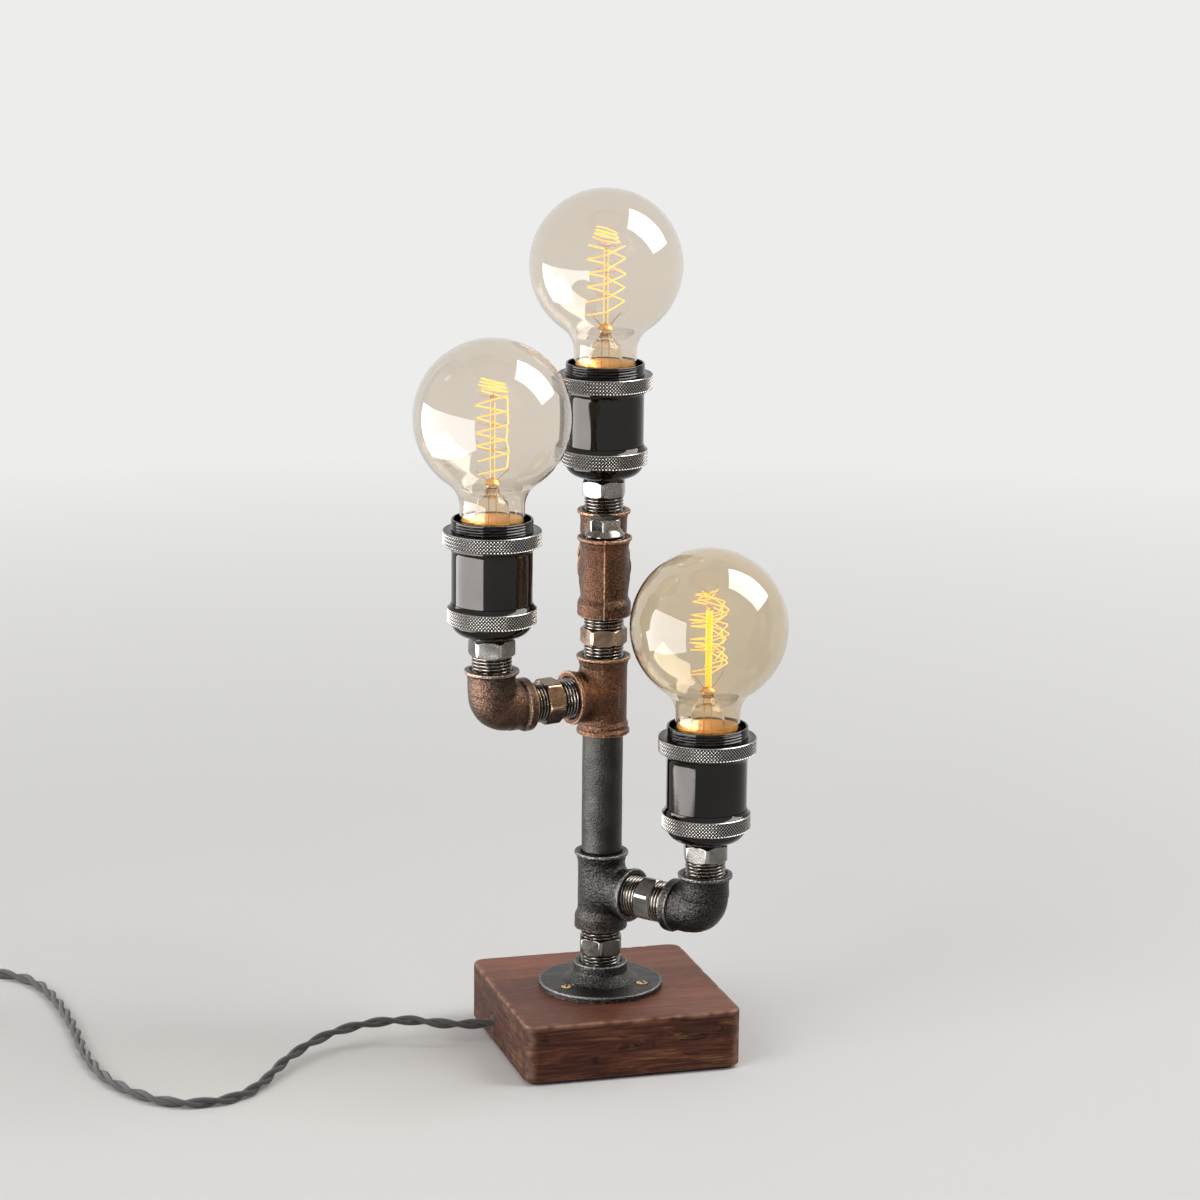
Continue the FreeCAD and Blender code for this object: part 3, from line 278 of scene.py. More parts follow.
def stacked(sections):
    """Closed solid through a stack of sections with the same number of points, with flat ends."""
    sections = np.asarray(sections, float)
    rows, columns = sections.shape[:2]
    return new_shell(sections.reshape(-1, 3), grid_faces(rows, columns).tolist() + end_faces(rows, columns))


# distance fields for cast and moulded pieces

def outline_distance(r, z, outline):
    """Signed distance from points to a closed outline in the (r, z) half-plane, negative inside."""
    nearest = np.full(r.shape, 1e9)
    inside = np.zeros(r.shape, bool)
    for (r0, z0), (r1, z1) in zip(outline, np.roll(outline, -1, 0)):
        dr, dz = r1 - r0, z1 - z0
        t = np.clip(((r - r0) * dr + (z - z0) * dz) / max(dr * dr + dz * dz, 1e-12), 0, 1)
        nearest = np.minimum(nearest, (r - r0 - t * dr) ** 2 + (z - z0 - t * dz) ** 2)
        if z0 != z1:
            inside ^= ((z0 > z) != (z1 > z)) & (r < dr * (z - z0) / dz + r0)
    return np.where(inside, -1.0, 1.0) * np.sqrt(nearest)


def merged(a, b, blend):
    overlap = np.maximum(blend - np.abs(a - b), 0) / blend
    return np.minimum(a, b) - overlap * overlap * blend / 4


def carved(a, b, blend):
    """a without b."""
    return -merged(-a, b, blend)


def surface(distance, low, high, step):
    """Mesh of distance = 0 in a box: surface nets, then each point is pulled onto the surface."""
    axes = [np.arange(a, b + step, step) for a, b in zip(low, high)]
    grid = np.stack(np.meshgrid(*axes, indexing="ij"), -1)
    values = distance(grid.reshape(-1, 3)).reshape(grid.shape[:3])
    inside = values < 0
    cells = tuple(n - 1 for n in values.shape)
    total, crossings = np.zeros(cells + (3,)), np.zeros(cells)
    unit = np.eye(3, dtype=int)
    crosswise = ((0, 1, 2), (1, 0, 2), (2, 0, 1))
    for axis, one, two in crosswise:
        for start in (0 * unit[axis], unit[two], unit[one], unit[one] + unit[two]):
            first, second = (tuple(slice(k, k + n) for k, n in zip(corner, cells))
                             for corner in (start, start + unit[axis]))
            a, b = values[first], values[second]
            cross = (a < 0) != (b < 0)
            point = grid[first].copy()
            point[..., axis] += np.where(cross, a / np.where(cross, a - b, 1), 0) * step
            total += np.where(cross[..., None], point, 0)
            crossings += cross
    active = crossings > 0
    number = np.full(cells, -1)
    number[active] = np.arange(active.sum())
    points = total[active] / crossings[active][:, None]
    quads = []
    for axis, one, two in crosswise:
        here = inside[tuple(slice(1 - k, n) for k, n in zip(unit[axis], cells))]
        ahead = inside[tuple(slice(1, n + k) for k, n in zip(unit[axis], cells))]
        base = np.argwhere(here != ahead) + 1 - unit[axis]
        quads.append(np.stack([number[tuple((base + u * unit[one] + v * unit[two]).T)]
                               for u, v in ((-1, -1), (0, -1), (0, 0), (-1, 0))], -1))
    for _ in range(3):
        away = slope(points, distance)
        size = np.maximum((away ** 2).sum(-1), 0.2)
        points = points - (distance(points) / size)[:, None] * away
    return points, np.concatenate(quads)


def slope(points, distance):
    reach = 0.03
    return np.stack([(distance(points + step) - distance(points - step)) / (2 * reach)
                     for step in np.eye(3) * reach], -1)


def outward(points, distance):
    away = slope(points, distance)
    return away / np.maximum(np.linalg.norm(away, axis=1, keepdims=True), 1e-6)


def rim_wear_and_highlight(points, quads, distance):
    """How much each point is brightened, from 0 to 1, by how sharply the surface bends outward: edge wear and
    a painted rim highlight.
    """
    beside = np.roll(quads, 1, 1).ravel()
    one, two = np.concatenate([quads.ravel(), beside]), np.concatenate([beside, quads.ravel()])
    count = np.bincount(one, minlength=len(points))

    def around(values):
        return np.stack([np.bincount(one, column[two], len(points)) / count for column in values.T], -1)

    bend = ((points - around(points)) * outward(points, distance)).sum(axis=1, keepdims=True) * 4 / STEP ** 2
    return np.clip((around(around(bend))[:, 0] - 0.3) / 0.5, 0, 1)


def rough(points, distance, amount, size, seed):
    """Points moved in and out along the surface by smooth noise of a given feature size."""
    lumps = np.array([noise.noise(Vector(p) / size + Vector((seed, 0, 0))) for p in points])
    return points + outward(points, distance) * (lumps * amount)[:, None]


# materials

class Nodes:
    """Short way to build nodes in a tree."""

    def __init__(self, tree):
        self.tree = tree

    def feed(self, socket, value):
        if isinstance(value, bpy.types.NodeSocket):
            self.tree.links.new(value, socket)
        elif isinstance(value, tuple) and len(value) == 3 and len(socket.default_value) == 4:
            socket.default_value = (*value, 1)
        else:
            socket.default_value = value

    def node(self, kind, inputs=(), **settings):
        item = self.tree.nodes.new("ShaderNode" + kind)
        for key, value in settings.items():
            setattr(item, key, value)
        for key, value in dict(inputs).items():
            self.feed(item.inputs[key], value)
        return item

    def place(self, scale=(1, 1, 1)):
        where = self.node("TexCoord").outputs["Object"]
        return self.node("Mapping", {"Vector": where, "Scale": scale}).outputs[0]

    def noise(self, scale, detail=3.0, roughness=0.5, stretch=(1, 1, 1), distortion=0.0):
        inputs = {"Vector": self.place(stretch), "Scale": scale, "Detail": detail, "Roughness": roughness,
                  "Distortion": distortion}
        return self.node("TexNoise", inputs).outputs["Fac"]

    # per-point number that materials read: wear on the wood, edge wear and painted rim highlights on the
    # iron, painted shade in knurl grooves and screw recesses
    def worn(self):
        return self.node("Attribute", attribute_name="worn").outputs["Fac"]

    def ramp(self, factor, *stops):
        item = self.node("ValToRGB", {"Fac": factor})
        band = item.color_ramp
        while len(band.elements) < len(stops):
            band.elements.new(0.5)
        for element, (position, colour) in zip(band.elements, stops):
            element.position = position
            element.color = (*colour, 1) if isinstance(colour, tuple) else (colour, colour, colour, 1)
        return item.outputs["Color"]

    def mix(self, factor, a, b):
        item = self.node("Mix", {"Factor": factor, 6: a, 7: b}, data_type="RGBA")
        return item.outputs[2]

    def layer(self, base, mask, first, last, colour):
        """Colour laid over a base where the mask, ramped between two stops, is high."""
        return self.mix(self.ramp(mask, first, last), base, colour)

    def math(self, operation, a, b=0.0):
        return self.node("Math", {0: a, 1: b}, operation=operation).outputs[0]

    def times(self, a, b, plus=None):
        product = self.math("MULTIPLY", a, b)
        return product if plus is None else self.math("ADD", product, plus)

    def bump(self, height, distance, strength=1.0, normal=None):
        inputs = {"Height": height, "Distance": distance, "Strength": strength}
        if normal is not None:
            inputs["Normal"] = normal
        return self.node("Bump", inputs).outputs[0]

    def seen(self):
        """1 where the eye looks, straight, mirrored or through glass, and 0 where light falls."""
        path = self.node("LightPath").outputs
        straight = self.math("MAXIMUM", path["Is Camera Ray"], path["Is Glossy Ray"])
        return self.math("MAXIMUM", straight, path["Is Transmission Ray"])

    def show(self, output, factor, one, two):
        """Two shaders mixed and led to the output."""
        both = self.node("MixShader", {0: factor, 1: one.outputs[0], 2: two.outputs[0]})
        self.feed(self.tree.nodes[output].inputs["Surface"], both.outputs[0])


class Shader(Nodes):
    """A Principled material."""

    def __init__(self, name, **values):
        self.material = bpy.data.materials.new(name)
        self.material.use_nodes = True
        super().__init__(self.material.node_tree)
        self.bsdf = self.tree.nodes["Principled BSDF"]
        self.set(**values)

    def set(self, **values):
        for key, value in values.items():
            self.feed(self.bsdf.inputs[key.replace("_", " ")], value)
        return self.material


def shaded(colour, factor, most=1.0):
    return tuple(min(most, factor * c) for c in colour)


def cast_iron(name, dark, light, warm, warm_amount):
    """Oiled sand-cast iron: fine grain, specks with painted sparkle, brown patches of rust and of painted
    warm lamplight, and edges brightened by wear and by a painted rim highlight.
    """
    s = Shader(name, Metallic=0.92)
    grain = s.noise(1050, 3, 0.62)
    specks = s.node("TexVoronoi", {"Vector": s.place(), "Scale": 700}).outputs["Distance"]
    stain = s.noise(30, 4, 0.6, distortion=0.6)
    base = s.mix(s.ramp(grain, (0.44, 0), (0.58, 1)), dark, light)
    # brown patches: rust on the grey iron, painted warm light of the bulbs on the brown irons
    rust_and_warm_light = s.times(s.ramp(stain, (0.4, 0), (0.62, 1)), warm_amount)
    base = s.mix(s.times(rust_and_warm_light, s.ramp(grain, (0.3, 0.5), (0.6, 1))), base, warm)
    # bright specks: painted sparkle on the grain's bumps
    base = s.layer(base, specks, (0.0, 0.8), (0.24, 0), shaded(light, 2.7))
    # brighter rims: partly edge wear, partly a painted highlight
    rub_and_rim_highlight = s.times(s.worn(), s.ramp(grain, (0.4, 0.25), (0.58, 0.75)))
    lumps = s.bump(s.noise(300, 3, 0.6), 0.0003, 0.9)
    return s.set(Base_Color=s.mix(rub_and_rim_highlight, base, shaded(light, 6)), Roughness=s.times(grain, 0.4, 0.13),
                 Normal=s.bump(grain, 0.0006, 0.85, s.bump(specks, 0.00025, 0.7, lumps)))


def turned_steel(name, base, light, roughness=0.2, smears=0.25):
    """Turned and darkened steel with faint smears, and painted highlights on its edges and chamfers."""
    s = Shader(name, Metallic=1.0)
    smear = s.noise(110, 4, 0.6, distortion=0.5)
    fine = s.noise(1500, 3, 0.6)
    colour = s.mix(s.ramp(smear, (0.3, 0), (0.7, 1)), base, light)
    # edges and chamfers lightened: painted highlights
    edge = s.node("NewGeometry").outputs["Pointiness"]
    return s.set(Base_Color=s.layer(colour, edge, (0.52, 0), (0.6, 1), shaded(light, 2, 0.8)),
                 Roughness=s.times(smear, smears, s.times(fine, roughness)),
                 Normal=s.bump(fine, 0.00005, normal=s.bump(smear, 0.0001, 0.5)))


def plain_finish(name, base, spread=0.2, roughness=0.45, metallic=0.0, grain=900, depth=0.00004, **values):
    """Moulded or plated finish whose colour and gloss vary a little, with a fine surface grain."""
    s = Shader(name, Metallic=metallic, **values)
    fine = s.noise(grain, 3, 0.6)
    broad = s.noise(grain / 14, 3, 0.5)
    colour = s.mix(s.ramp(broad, (0.35, 0), (0.65, 1)), shaded(base, 1 - spread), shaded(base, 1 + spread))
    return s.set(Base_Color=colour, Roughness=s.times(fine, roughness * 0.4, roughness * 0.8),
                 Normal=s.bump(fine, depth))


def black_mirror():
    """Pearl-black plating: a dark mirror with faint turning lines."""
    s = Shader("black_mirror", Metallic=1.0)
    lines = s.noise(1.0, 2, stretch=(40, 40, 5200))
    smear = s.noise(45)
    return s.set(Base_Color=s.mix(smear, (0.024, 0.0225, 0.0215), (0.04, 0.037, 0.035)),
                 Roughness=s.times(smear, 0.05, 0.04), Normal=s.bump(lines, 0.000006))


def knurl_metal():
    """Plated knurl, with painted shade darkening its grooves and its diamond points left bright."""
    s = Shader("knurled_metal", Metallic=1.0)
    # low points of the knurl darkened: painted shade in the grooves
    high = s.ramp(s.worn(), (0.22, 0), (0.62, 1))
    return s.set(Base_Color=s.mix(high, (0.006, 0.0055, 0.0055), (0.36, 0.338, 0.318)),
                 Roughness=s.times(s.noise(1200, 3, 0.6), 0.16, 0.2))


def screw_brass():
    """Brass screw head with painted shade in its recess and round its rim, and a little dirt across it."""
    s = Shader("screw_brass", Metallic=1.0)
    dirt = s.noise(420, 3, 0.6)
    base = s.mix(s.ramp(dirt, (0.4, 0), (0.6, 1)), (0.34, 0.23, 0.09), (0.86, 0.62, 0.25))
    return s.set(Base_Color=s.mix(s.worn(), (0.025, 0.02, 0.016), base), Roughness=s.times(dirt, 0.25, 0.16))


def wood():
    """Stained hardwood: fine streaks along X, worn lighter edges, and darker, rougher sawn sides."""
    s = Shader("stained_wood", Specular_IOR_Level=0.14)
    growth = s.noise(1.0, 4, 0.55, (5, 36, 24), 0.9)
    streak = s.noise(2.4, 5, 0.6, (10, 120, 120), 0.25)
    fibre = s.noise(9, 3, 0.6, (12, 130, 130))
    pores = s.noise(22, 2, 0.5, (5, 80, 80))
    top = s.ramp(growth, (0.3, (0.12, 0.036, 0.02)), (0.52, (0.19, 0.062, 0.034)),
                 (0.74, (0.265, 0.1, 0.058)))
    top = s.layer(top, streak, (0.38, 0.65), (0.56, 0), (0.09, 0.032, 0.02))
    top = s.layer(top, fibre, (0.54, 0), (0.68, 0.6), (0.33, 0.145, 0.085))
    up = s.node("SeparateXYZ", {0: s.node("NewGeometry").outputs["Normal"]}).outputs[2]
    wall = s.ramp(s.math("ABSOLUTE", up), (0.3, 1), (0.75, 0))
    blotch = s.noise(1.0, 5, 0.62, (20, 60, 90), 0.8)
    gold = s.noise(1.0, 4, 0.6, (26, 40, 95), 0.9)
    thin = s.noise(1.6, 5, 0.65, (22, 22, 420), 0.5)
    crack = s.noise(1.0, 4, 0.65, (34, 34, 160), 1.2)
    side = s.ramp(blotch, (0.34, (0.04, 0.012, 0.007)), (0.52, (0.092, 0.029, 0.016)),
                  (0.7, (0.15, 0.054, 0.028)))
    side = s.layer(side, gold, (0.58, 0), (0.68, 0.75), (0.23, 0.115, 0.042))
    side = s.layer(side, thin, (0.42, 0.8), (0.52, 0), (0.032, 0.01, 0.006))
    side = s.layer(side, thin, (0.58, 0), (0.7, 0.45), (0.24, 0.125, 0.07))
    side = s.layer(side, crack, (0.34, 0.95), (0.39, 0), (0.012, 0.005, 0.003))
    base = s.mix(s.times(s.worn(), s.ramp(streak, (0.35, 0.35), (0.6, 1))), s.mix(wall, top, side),
                 (0.36, 0.2, 0.135))
    base = s.layer(base, pores, (0.27, 0.55), (0.34, 0), (0.035, 0.012, 0.008))
    height = s.times(fibre, 0.5, s.times(s.ramp(pores, (0.25, 0), (0.36, 1)), 0.5))
    saw = s.times(s.math("ADD", blotch, crack), wall)
    return s.set(Base_Color=base, Roughness=s.times(streak, 0.25, s.times(wall, 0.12, 0.3)),
                 Normal=s.bump(height, 0.0001, normal=s.bump(saw, 0.0007, 0.8)))


def clear_glass(name, tint, roughness=0.0):
    """Glass that lets shadow rays through, so that it doesn't darken what stands behind it."""
    s = Shader(name, Roughness=roughness, IOR=1.46, Transmission_Weight=1.0)
    s.set(Base_Color=s.mix(s.noise(9, 2), shaded(tint, 0.985), tint))
    thin = s.node("BsdfTransparent", {"Color": tint})
    s.show("Material Output", s.node("LightPath").outputs["Is Shadow Ray"], s.bsdf, thin)
    return s.material


def glow(name, colour, strength, base, cast, metallic=0.0):
    """Hot metal, or metal with a painted glow of the filament's light on it; it throws more light on its
    surroundings than it shows to the eye.
    """
    s = Shader(name, Roughness=0.4, Metallic=metallic)
    vary = s.noise(260, 2)
    hot = s.mix(s.ramp(vary, (0.3, 0), (0.7, 1)), shaded(colour, 0.8), colour)
    spread = s.node("LightPath").outputs["Is Diffuse Ray"]
    return s.set(Base_Color=s.mix(vary, shaded(base, 0.75), base), Emission_Color=hot,
                 Emission_Strength=s.times(spread, strength * (cast - 1), strength))


def braid():
    """Black cotton braid on a cord's strands, woven along the strand's own length and girth."""
    s = Shader("cord_braid", Roughness=0.85, Sheen_Weight=0.35, Sheen_Roughness=0.4)
    length, girth = s.node("SeparateXYZ", {0: s.node("UVMap", uv_map="UVMap").outputs[0]}).outputs[:2]
    one, two = (s.math("SINE", s.times(s.math(operation, length, girth), TURN))
                for operation in ("ADD", "SUBTRACT"))
    weave = s.math("MAXIMUM", one, two)
    fuzz = s.noise(2600, 3, 0.6)
    tone = s.times(weave, 0.35, s.times(fuzz, 0.7))
    return s.set(Base_Color=s.ramp(tone, (0.1, (0.006, 0.0055, 0.005)), (0.9, (0.045, 0.04, 0.035))),
                 Normal=s.bump(s.math("ADD", weave, s.times(fuzz, 0.6)), 0.00022))


# IRON_WARM and IRON_MIXED are tinted copper-brown: painted warm light of the lit bulbs on the middle and top
# fittings
IRON = cast_iron("cast_iron_grey", (0.01, 0.0096, 0.0092), (0.04, 0.0385, 0.037), (0.056, 0.039, 0.028), 0.25)
IRON_WARM = cast_iron("cast_iron_brown", (0.023, 0.0132, 0.009), (0.088, 0.05, 0.032), (0.165, 0.071, 0.037),
                      0.6)
IRON_MIXED = cast_iron("cast_iron_warm_lit", (0.0145, 0.0115, 0.0097), (0.064, 0.048, 0.038),
                       (0.165, 0.075, 0.041), 0.42)
STEEL = turned_steel("turned_steel", (0.115, 0.108, 0.101), (0.235, 0.222, 0.208))
# warm steel: painted warm lamplight on the upper nipple and the middle branch nipple
STEEL_WARM = turned_steel("warm_steel", (0.115, 0.078, 0.054), (0.26, 0.185, 0.132))
STEEL_DARK = turned_steel("dark_steel", (0.065, 0.061, 0.057), (0.15, 0.14, 0.13))
# darker thread steel: painted shade in the threads, with some oil
THREAD = turned_steel("thread_steel", (0.07, 0.062, 0.055), (0.2, 0.18, 0.16), 0.24, 0.2)
PIPE = plain_finish("black_pipe", (0.035, 0.0325, 0.03), 0.34, 0.38, 0.85, 1000, 0.0004)
MIRROR = black_mirror()
KNURL = knurl_metal()
SCREW_BRASS = screw_brass()
CONTACT_BRASS = plain_finish("contact_brass", (0.72, 0.5, 0.2), 0.15, 0.28, 1.0, 900, 0.00003)
NICKEL = plain_finish("nickel", (0.66, 0.63, 0.58), 0.12, 0.24, 1.0, 1100, 0.00002)
CERAMIC = plain_finish("ceramic", (0.76, 0.73, 0.68), 0.06, 0.28, 0.0, 500, 0.00003)
FELT = plain_finish("felt", (0.018, 0.018, 0.02), 0.5, 0.95, 0.0, 1600, 0.0003, Sheen_Weight=0.2)
RUBBER = plain_finish("wire_sleeve", (0.02, 0.02, 0.021), 0.3, 0.6, 0.0, 1200)
PLASTIC = plain_finish("black_plastic", (0.018, 0.018, 0.019), 0.25, 0.42, 0.0, 1500, 0.00005)
GLOSS_PLASTIC = plain_finish("gloss_plastic", (0.02, 0.02, 0.021), 0.2, 0.36, 0.0, 900, 0.00002)
TERMINAL = plain_finish("terminal_plastic", (0.68, 0.67, 0.63), 0.08, 0.5, 0.0, 900, 0.00003)
WOOD = wood()
GLASS = clear_glass("bulb_glass", (0.885, 0.835, 0.765))
# the lower bulb's glass: its own tint, deepened with the painted warm glow of its filament
GLASS_AMBER_GLOW = clear_glass("amber_glow_bulb_glass", (0.87, 0.79, 0.66))
STEM_GLASS = clear_glass("stem_glass", (0.97, 0.92, 0.82), 0.02)
FILAMENT = glow("filament", (1.0, 0.45, 0.06), 1.8, (0.5, 0.3, 0.1), 9.0)
# rod wires, support wires and the neck liner are no lamps: their glow is painted filament light, refracted
# and reflected onto them
ROD_GLOW = glow("rod_glow", (1.0, 0.6, 0.12), 1.5, (0.5, 0.35, 0.15), 2.0)
CORE_GLOW = glow("core_glow", (1.0, 0.66, 0.05), 1.15, (0.6, 0.45, 0.1), 2.0)
HOOK = glow("glowing_support_wire", (1.0, 0.45, 0.1), 0.3, (0.34, 0.26, 0.19), 1.0, 0.8)
LINER = glow("neck_liner", (1.0, 0.5, 0.14), 0.16, (0.66, 0.44, 0.2), 1.0, 0.9)
BRAID = braid()


# cord

def coil_points():
    """Turns of the put-away coil: three side by side inward, then three more on top of them outward."""
    per_turn, turns, slack = 16, 5.5, 1.019
    points = []
    for k in range(1, int(per_turn * turns) + 1):
        wound = k / per_turn
        inward = min(wound, turns - wound)
        ring = math.floor(inward)
        shifted = min(2, ring + np.clip((inward - ring - 0.86) / 0.14, 0, 1))
        radius = (COIL_R + CORD_D - CORD_D * shifted) * slack
        raised = np.clip((wound - 2.72) / 0.28, 0, 1)
        x, y = on_circle(radius, -TURN * wound)
        points.append((COIL_X + x, COIL_Y + y, CORD_D * (0.5 + raised)))
    return points


def cord_line():
    """Points along the cord's smooth centre line, in metres."""
    route = CORD_ROUTE + coil_points()
    route += [(TAIL_X, COIL_Y + 0.014, 0.0082), (TAIL_X, COIL_Y + 0.028, TAIL_Z),
              (TAIL_X, PLUG_REAR + 0.008, TAIL_Z)]
    curve = bpy.data.curves.new("cord_route", "CURVE")
    curve.dimensions = "3D"
    curve.resolution_u = 12
    spline = curve.splines.new("NURBS")
    spline.points.add(len(route) - 1)
    for point, where in zip(spline.points, route):
        point.co = (*where, 1)
    spline.order_u = 3
    spline.use_endpoint_u = True
    helper = add_object("cord_route", curve)
    bpy.context.view_layer.update()
    mesh = bpy.data.meshes.new_from_object(helper)
    line = np.array([vertex.co for vertex in mesh.vertices])
    bpy.data.objects.remove(helper)
    bpy.data.curves.remove(curve)
    bpy.data.meshes.remove(mesh)
    return line


def resampled(line, step):
    lengths = np.concatenate([[0], np.cumsum(np.linalg.norm(np.diff(line, axis=0), axis=1))])
    where = np.linspace(0, lengths[-1], int(lengths[-1] / step) + 1)
    return np.stack([np.interp(where, lengths, line[:, k]) for k in range(3)], -1), where


def along(line):
    """Two steady normals at each point of a line."""
    tangent = np.gradient(line, axis=0)
    tangent /= np.linalg.norm(tangent, axis=1, keepdims=True)
    normal = np.zeros_like(line)
    side = np.cross(tangent[0], (0, 0, 1.0) if abs(tangent[0][2]) < 0.95 else (1.0, 0, 0))
    for k, heading in enumerate(tangent):
        side = side - heading * (side @ heading)
        side /= np.linalg.norm(side)
        normal[k] = side
    return normal, np.cross(tangent, normal)


def tube(line, radius, columns=8):
    """Round tube on a line, with flat ends."""
    one, two = along(line)
    angle = circle_angles(columns)
    ring = one[:, None] * np.cos(angle)[None, :, None] + two[:, None] * np.sin(angle)[None, :, None]
    return stacked(line[:, None] + ring * radius)


def make_cord():
    """Two braided strands twisted round each other along the route."""
    strand_r, pitch, columns, braid_length, braid_girth = CORD_D / 4, 0.034, 10, 0.0013, 4
    line, where = resampled(cord_line(), 0.0009)
    one, two = along(line)
    strands = []
    for start in (0, math.pi):
        phase = (start + TURN * where / pitch)[:, None]
        centre = line + (one * np.cos(phase) + two * np.sin(phase)) * (CORD_R - strand_r)
        strands.append(tube(centre, strand_r, columns))
    points, faces, _ = joined(*strands)
    row, column = np.divmod(np.arange((len(line) - 1) * columns), columns)
    around = [(row, column), (row, column + 1), (row + 1, column + 1), (row + 1, column)]
    corners = [np.stack([where[r] / braid_length, braid_girth * (c / columns)], -1) for r, c in around]
    sides = np.stack(corners, 1)
    ends = [(where[r] / braid_length, braid_girth * (c / columns)) for r in (0, -1) for c in range(columns)]
    uvs = np.concatenate([sides.reshape(-1, 2), ends])
    mesh = new_mesh("cord", points, faces, [BRAID])
    layer = mesh.uv_layers.new(name="UVMap")
    layer.data.foreach_set("uv", np.tile(uvs, (2, 1)).astype(np.float32).ravel())
    mesh.shade_smooth()
    mesh.update()
    return add_object("cord", mesh), line[::3].tolist()


cord, cord_path = make_cord()
finish_piece(cord, "stand", "cord_run cord_link cord_coil")


# nipples, pipe and plug

def thread_relief(crest, depth, pitch):
    """Right-hand ridges cut into the part of an outline that lies at the crest radius."""
    def relief(angle, z, r):
        phase = (z / pitch - angle / TURN) % 1
        ridge = np.clip(1.25 - 2.6 * np.abs(phase - 0.5), 0, 1)
        return np.where(np.abs(r - crest) < 0.01, -depth * (1 - ridge), 0)
    return relief


def threaded(low, high):
    """Sleeve with a pipe's thread cut all along it."""
    inner = 7.6
    rows = [(CREST_R, z) for z in np.linspace(low, high, int((high - low) / THREAD_PITCH * 11) + 2)]
    return lathe([(inner, low), *rows, (inner, high)], 96, thread_relief(CREST_R, THREAD_DEPTH, THREAD_PITCH),
                 tag=1)


def hexagon(flats, low, high, turn, chamfer=0.9, corner_loss=0.35):
    """Hexagonal prism with turned ends and slightly rounded corners; a corner lies at turn degrees."""
    columns = 144
    angle = circle_angles(columns)
    flat_r = flats / 2 / np.cos(np.radians((np.degrees(angle) - turn) % 60 - 30))
    full, start = flats / math.sqrt(3) - corner_loss, flats / 2 + 0.2
    levels = np.linspace(0, chamfer, 7)
    sections = []
    rows = [(low + level, level) for level in levels] + [(high - level, level) for level in levels[::-1]]
    for z, level in rows:
        r = np.minimum(flat_r, start + (full - start) * (level / chamfer) ** 0.8)
        sections.append(np.stack([r * np.cos(angle), r * np.sin(angle), np.full(columns, z)], -1))
    return stacked(sections)


def make_nipple(name, room, length, turn, place, steel):
    """Double nipple centred in the room between two fittings; its threads reach a little into both."""
    gap, reach, overlap = (room - length) / 2, 2.0, 0.3
    nipple = joined(threaded(-gap - reach, overlap), hexagon(HEX_FLATS, 0, length, turn),
                    threaded(length - overlap, length + gap + reach))
    piece(name + "_nipple_look", "stand", "turned_steel", name + "_nipple", nipple, place @ shift(z=gap),
          [steel, THREAD], sharp=32)


def make_nipples():
    make_nipple("flange", LOWER_Z - FACE - FLANGE_TOP, HEX_LENGTH, 254, shift(COLUMN_X, 0, FLANGE_TOP),
                STEEL_DARK)
    make_nipple("upper", TOP_Z - MIDDLE_Z - 2 * FACE, HEX_LENGTH, 284, shift(COLUMN_X, 0, MIDDLE_Z + FACE),
                STEEL_WARM)
    hex_low, throat = RISER_TOP - HEX_LENGTH, RISER_TOP + 7
    for arm, steel in zip(ARMS, (STEEL, STEEL_WARM, STEEL_DARK)):
        _, azimuth, branch_turn, riser_turn = ARMS[arm]
        make_nipple(arm + "_branch", REACH - 2 * FACE, BRANCH_HEX_LENGTH, branch_turn,
                    arm_place(arm) @ spin("Y", 90) @ shift(z=FACE), steel)
        riser = joined(threaded(FACE - 2, hex_low + 0.3),
                       hexagon(HEX_FLATS, hex_low, RISER_TOP, riser_turn - azimuth),
                       lathe([(3.6, hex_low), (4.95, hex_low), (4.95, throat), (3.6, throat)], 48))
        piece(arm + "_riser_nipple_look", arm + "_arm", "turned_steel", arm + "_riser_nipple", riser,
              riser_place(arm), [STEEL, THREAD], sharp=32)


def make_pipe():
    """Pipe with turned-down ends, a faint weld seam and the slight waviness of drawn tube."""
    low, high = LOWER_Z + FACE, MIDDLE_Z - FACE
    end_r, inner = 10.3, 8

    def relief(angle, z, r):
        seam = 0.12 * np.exp(-((angle - 1.9) / 0.05) ** 2)
        wave = 0.03 * np.sin(z * 0.21 + 2 * np.sin(angle)) + 0.02 * np.sin(3 * angle + z * 0.13)
        return np.where(r > PIPE_R - 0.05, seam + wave, 0)

    wall = divided(filleted([(end_r, low - 2), (end_r, low + 0.2), (PIPE_R, low + 0.7, 0.3),
                             (PIPE_R, high - 0.7, 0.3), (end_r, high - 0.2), (end_r, high + 2)]), 1.0)
    piece("pipe_look", "stand", "pipe", "column_pipe",
          lathe([*wall, (inner, high + 2), (inner, low - 2)], 160, relief), shift(COLUMN_X), [PIPE],
          sharp=35)


def make_plug_head():
    """Hexagon plug: a coned shoulder, a smaller hexagon head with a turned top, and two threads in sight."""
    face = TOP_Z + FACE
    shoulder = face + 1.2
    head = shoulder + 3.2
    cone = solid_lathe(filleted([(0, face + 0.6), (10.1, face + 0.6), (CREST_R, shoulder, 0.3),
                                 (9.9, shoulder + 0.5, 0.4), (7.9, head, 0.3), (0, head)]), 96)
    plug = joined(threaded(face - 2, shoulder - 0.2), cone,
                  hexagon(16, shoulder + 0.8, head + 5.2, 254, 1.0, 0.5))
    piece("plug_head_look", "stand", "turned_steel", "hex_plug", plug, shift(COLUMN_X), [STEEL, THREAD],
          sharp=32)


make_nipples()
make_pipe()
make_plug_head()


# cast fittings

STEP = 0.42


def mouth(face, inward):
    """What a thread and its lead take out of a mouth, as an (r, z) outline."""
    deep = face + inward * 11
    return [(0, face - inward), (11.7, face - inward), (11.7, face), (10.45, face + inward * 1.2),
            (10.45, deep), (BORE_R, deep + inward), (0, deep + inward)]


def outlines_out(distance, r, z, *outlines):
    for outline in outlines:
        distance = carved(distance, outline_distance(r, z, outline), 0.3)
    return distance


